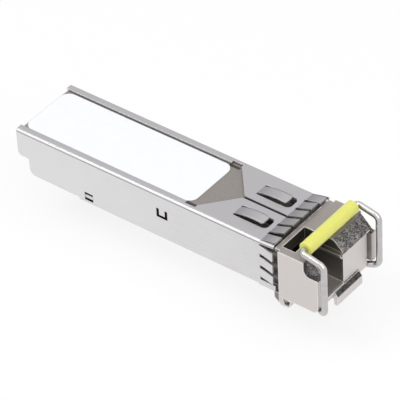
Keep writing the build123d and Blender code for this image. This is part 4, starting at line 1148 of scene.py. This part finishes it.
def end_caps(
    name: str, boxes: Sequence[tuple[Vector, Vector]], share: float, proud: float, bevel: float
) -> bpy.types.Object:
    """Wrap the two ends of each small chip part in a metal cap.

    Args:
        name: The object's name.
        boxes: The chip parts' boxes, in millimetres.
        share: The cap's length as a share of the part's length.
        proud: How far the cap stands over the part, in millimetres.
        bevel: The rounding of the cap's edges, in millimetres.

    Returns:
        One plain mesh with all the caps.
    """
    work = bmesh.new()
    for low, high in boxes:
        size = high - low
        axis = 0 if size.x > size.y else 1
        for side in (0, 1):
            cap_low = low - Vector((proud, proud, 0))
            cap_high = high + Vector((proud, proud, proud))
            if side:
                cap_low[axis] = high[axis] - size[axis] * share
            else:
                cap_high[axis] = low[axis] + size[axis] * share
            place = Matrix.Translation((cap_low + cap_high) / 2 * MM)
            scale = Matrix.Diagonal((*((cap_high - cap_low) * MM), 1.0))
            made = bmesh.ops.create_cube(work, size=1.0, matrix=place @ scale)
            edges = {edge for vertex in made["verts"] for edge in vertex.link_edges}
            bmesh.ops.bevel(
                work, geom=list(edges), offset=bevel * MM, segments=2, affect="EDGES", profile=0.5
            )
    bmesh.ops.recalc_face_normals(work, faces=work.faces)
    mesh = bpy.data.meshes.new(name)
    work.to_mesh(mesh)
    work.free()
    return add_object(name, mesh)


@dataclass
class Assembly:
    """Nodes of the frame that are dressed together."""

    nodes: dict[str, Role] = field(default_factory=dict)

    def dress(self, frame: dict[str, Any], finishes: Finishes) -> list[str]:
        """Give the nodes their finishes.

        Args:
            frame: The loaded frame.
            finishes: The store of finishes.

        Returns:
            The names of the dressed nodes.
        """
        for name, role in self.nodes.items():
            finishes.dress(frame["nodes"][name], role)
        return list(self.nodes)


@dataclass
class Housing(Assembly):
    """The die-cast housing with its retainer and the lever's dowel."""

    nodes: dict[str, Role] = field(
        default_factory=lambda: {
            "housing_casting": Role.CAST,
            "optics_retainer": Role.CAST,
            "lever_pin": Role.WIRE,
        }
    )


@dataclass
class Shell(Assembly):
    """The folded sheet shell and the label on its deck."""

    nodes: dict[str, Role] = field(
        default_factory=lambda: {"shell": Role.SHEET, "label": Role.LABEL}
    )


@dataclass
class Bail(Assembly):
    """The wire bail, its grip and the lever that it works."""

    nodes: dict[str, Role] = field(
        default_factory=lambda: {
            "bail_wire": Role.WIRE,
            "bail_sleeve": Role.GRIP,
            "latch_lever": Role.LEVER,
        }
    )
    spring_top: Triple = (44.0, 0.0, 2.34)
    spring_closed: float = 0.48

    def hairpin(self, frame: dict[str, Any], finishes: Finishes) -> bpy.types.Object:
        """Build a copy of the lever's spring as a dressed piece of its own, carried by the
        housing.

        Args:
            frame: The loaded frame.
            finishes: The store of finishes.

        Returns:
            The finished piece.
        """
        work = welded(frame["nodes"]["latch_spring"])
        mesh = bpy.data.meshes.new("latch_hairpin")
        work.to_mesh(mesh)
        work.free()
        piece = add_object("latch_hairpin", mesh)
        finishes.dress(piece, Role.WIRE)
        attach(piece, "housing")
        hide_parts("latch_spring")
        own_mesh(piece)
        return piece


@dataclass
class Board(Assembly):
    """The circuit board with its packages, and the solder that holds them."""

    nodes: dict[str, Role] = field(
        default_factory=lambda: {
            "circuit_board": Role.BOARD,
            "edge_contacts": Role.GOLD,
            "laser_driver": Role.EPOXY,
            "receive_amplifier": Role.EPOXY,
            "controller": Role.EPOXY,
            "memory_chip": Role.EPOXY,
            "capacitors": Role.CERAMIC_CHIP,
            "supply_inductors": Role.EPOXY,
        }
    )
    leg_pitch: float = 0.5
    leg_margin: float = 0.3
    leg_reach: float = 0.3
    leg_size: Triple = (0.24, 0.5, 0.16)
    leg_rounding: float = 0.35
    cap_share: float = 0.24
    cap_proud: float = 0.02
    cap_bevel: float = 0.03

    def leg_places(self, node: str) -> list[Vector]:
        """Return the places of a package's legs along its two long sides.

        Args:
            node: The package's node.

        Returns:
            Points in millimetres.
        """
        low, high = (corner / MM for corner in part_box(node))
        count = int((high.x - low.x - self.leg_margin) / self.leg_pitch)
        middle = (low.x + high.x) / 2
        base = low.z + self.leg_size[2] / 2
        outwards = self.leg_size[1] * self.leg_reach
        places = []
        for index in range(count):
            x = middle + (index - (count - 1) / 2) * self.leg_pitch
            places.append(Vector((x, low.y - outwards, base)))
            places.append(Vector((x, high.y + outwards, base)))
        return places

    def solder(self, finishes: Finishes) -> bpy.types.Object:
        """Build the legs and solder of the top side's packages.

        Args:
            finishes: The store of finishes.

        Returns:
            The finished piece.
        """
        places: list[Vector] = []
        for node in ("laser_driver", "receive_amplifier", "controller"):
            places += self.leg_places(node)
        solder = finishes.get(Role.SOLDER)
        piece = copies("package_legs", places, self.leg_size, self.leg_rounding, solder)
        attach(piece, "housing")
        return piece

    def caps(self, frame: dict[str, Any], finishes: Finishes) -> bpy.types.Object:
        """Build the tinned ends of the chip capacitors and inductors.

        Args:
            frame: The loaded frame.
            finishes: The store of finishes.

        Returns:
            The finished piece.
        """
        boxes: list[tuple[Vector, Vector]] = []
        for node in ("capacitors", "supply_inductors"):
            boxes += separate_boxes(frame["nodes"][node])
        piece = end_caps("chip_end_caps", boxes, self.cap_share, self.cap_proud, self.cap_bevel)
        finishes.dress(piece, Role.SOLDER)
        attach(piece, "housing")
        return piece


@dataclass
class Optics(Assembly):
    """The optical block, its cans and flexes, and the barrel in the port."""

    nodes: dict[str, Role] = field(
        default_factory=lambda: {
            "optic_body": Role.TURNED,
            "wavelength_filter": Role.GLASS,
            "laser_can": Role.GOLD,
            "laser_leads": Role.GOLD,
            "laser_flex": Role.FLEX,
            "receiver_can": Role.GOLD,
            "receiver_leads": Role.GOLD,
            "receiver_flex": Role.FLEX,
            "receptacle_barrel": Role.TURNED,
            "ferrule_sleeve": Role.ZIRCONIA,
            "fibre_stub": Role.ZIRCONIA,
            "shield_gasket": Role.GASKET,
        }
    )


@dataclass
class Lamp:
    """One soft square lamp at its angles in degrees, with its power in watts."""

    name: str
    azimuth: float
    elevation: float
    distance: float
    edge: float
    power: float

    def hang(self, aim: Vector) -> bpy.types.Object:
        """Hang the lamp.

        Args:
            aim: The point that it faces, in metres.

        Returns:
            The lamp's object.
        """
        light = bpy.data.lights.new(self.name, "AREA")
        light.shape = "SQUARE"
        light.size = self.edge * MM
        light.energy = self.power
        lamp = add_object(self.name, light)
        away = direction(self.azimuth, self.elevation)
        lamp.location = aim + away * self.distance * MM
        lamp.rotation_euler = away.to_track_quat("Z", "Y").to_euler()
        return lamp


@dataclass
class Studio:
    """The camera at the photograph's angle, the floor and the soft lamps.

    Angles are degrees, and the camera's clipping distances are metres.
    """

    azimuth: float = 39.44
    elevation: float = 39.54
    roll: float = -3.0
    distance: float = 524.76
    aim: Triple = (28.0, 0.0, 4.0)
    slide_right: float = 1.3
    slide_up: float = -0.63
    focal_px: float = 3526.0
    frame_px: float = 400.0
    sensor_mm: float = 36.0
    clip_near: float = 0.01
    clip_far: float = 20.0
    floor_z: float = -7.5
    floor_edge: float = 4000.0
    sky: float = 0.55
    lamps: tuple[Lamp, ...] = (
        Lamp("key", -35.0, 58.0, 420.0, 170.0, 0.55),
        Lamp("fill", 80.0, 42.0, 420.0, 360.0, 0.55),
        Lamp("top", 20.0, 82.0, 520.0, 560.0, 0.6),
    )

    def camera(self) -> bpy.types.Object:
        """Place the camera of the photograph.

        Returns:
            The camera's object.
        """
        back = direction(self.azimuth, self.elevation)
        right = (-back).cross(Vector((0, 0, 1))).normalized()
        up = right.cross(-back)
        lean = math.radians(self.roll)
        right, up = (
            right * math.cos(lean) + up * math.sin(lean),
            up * math.cos(lean) - right * math.sin(lean),
        )
        place = Vector(self.aim) + back * self.distance
        place = place + right * self.slide_right + up * self.slide_up
        data = bpy.data.cameras.new("camera")
        data.sensor_width = self.sensor_mm
        data.lens = self.focal_px * self.sensor_mm / self.frame_px
        data.clip_start = self.clip_near
        data.clip_end = self.clip_far
        camera = add_object("camera", data)
        facing = Matrix((right, up, back)).transposed().to_4x4()
        camera.matrix_world = Matrix.Translation(place * MM) @ facing
        bpy.context.scene.camera = camera
        return camera

    def floor(self, finishes: Finishes) -> bpy.types.Object:
        """Lay the pale floor.

        Args:
            finishes: The store of finishes.

        Returns:
            The floor's object.
        """
        half, height = self.floor_edge / 2 * MM, self.floor_z * MM
        sides = ((-half, -half), (half, -half), (half, half), (-half, half))
        mesh = bpy.data.meshes.new("floor")
        mesh.from_pydata([(x, y, height) for x, y in sides], [], [(0, 1, 2, 3)])
        floor = add_object("floor", mesh)
        finishes.dress(floor, Role.FLOOR)
        return floor

    def world(self) -> None:
        """Set an even sky that the camera and the metal see as white."""
        world = bpy.data.worlds.new("sky")
        bpy.context.scene.world = world
        world.use_nodes = True
        nodes, links = world.node_tree.nodes, world.node_tree.links
        nodes.clear()
        path = nodes.new("ShaderNodeLightPath")
        seen: bpy.types.NodeSocket = path.outputs["Is Camera Ray"]
        for kind in ("Is Glossy Ray", "Is Transmission Ray"):
            either = nodes.new("ShaderNodeMath")
            either.operation = "MAXIMUM"
            links.new(seen, either.inputs[0])
            links.new(path.outputs[kind], either.inputs[1])
            seen = either.outputs[0]
        strength = nodes.new("ShaderNodeMapRange")
        strength.inputs["To Min"].default_value = self.sky
        strength.inputs["To Max"].default_value = 1.0
        links.new(seen, strength.inputs["Value"])
        sky = nodes.new("ShaderNodeBackground")
        sky.inputs["Color"].default_value = (1, 1, 1, 1)
        links.new(strength.outputs["Result"], sky.inputs["Strength"])
        end = nodes.new("ShaderNodeOutputWorld")
        links.new(sky.outputs[0], end.inputs[0])

    def build(self, finishes: Finishes) -> None:
        """Set up everything that isn't the module.

        Args:
            finishes: The store of finishes.
        """
        self.camera()
        self.floor(finishes)
        self.world()
        for lamp in self.lamps:
            lamp.hang(Vector(self.aim) * MM)
        bpy.context.scene.view_settings.view_transform = "Standard"


def main() -> None:
    """Load the frame, dress it, add the small pieces and set the studio."""
    logging.basicConfig(level=logging.INFO, format="%(name)s: %(message)s")
    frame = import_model()
    finishes = Finishes()
    bail, board = Bail(), Board()
    for assembly in (Housing(), Shell(), bail, board, Optics()):
        names = assembly.dress(frame, finishes)
        LOG.info("%s: %s", type(assembly).__name__, ", ".join(names))
    pieces = (
        bail.hairpin(frame, finishes),
        board.solder(finishes),
        board.caps(frame, finishes),
    )
    for piece in pieces:
        LOG.info("%s: %d faces", piece.name, len(piece.data.polygons))
    Studio().build(finishes)


if __name__ == "__main__":
    main()
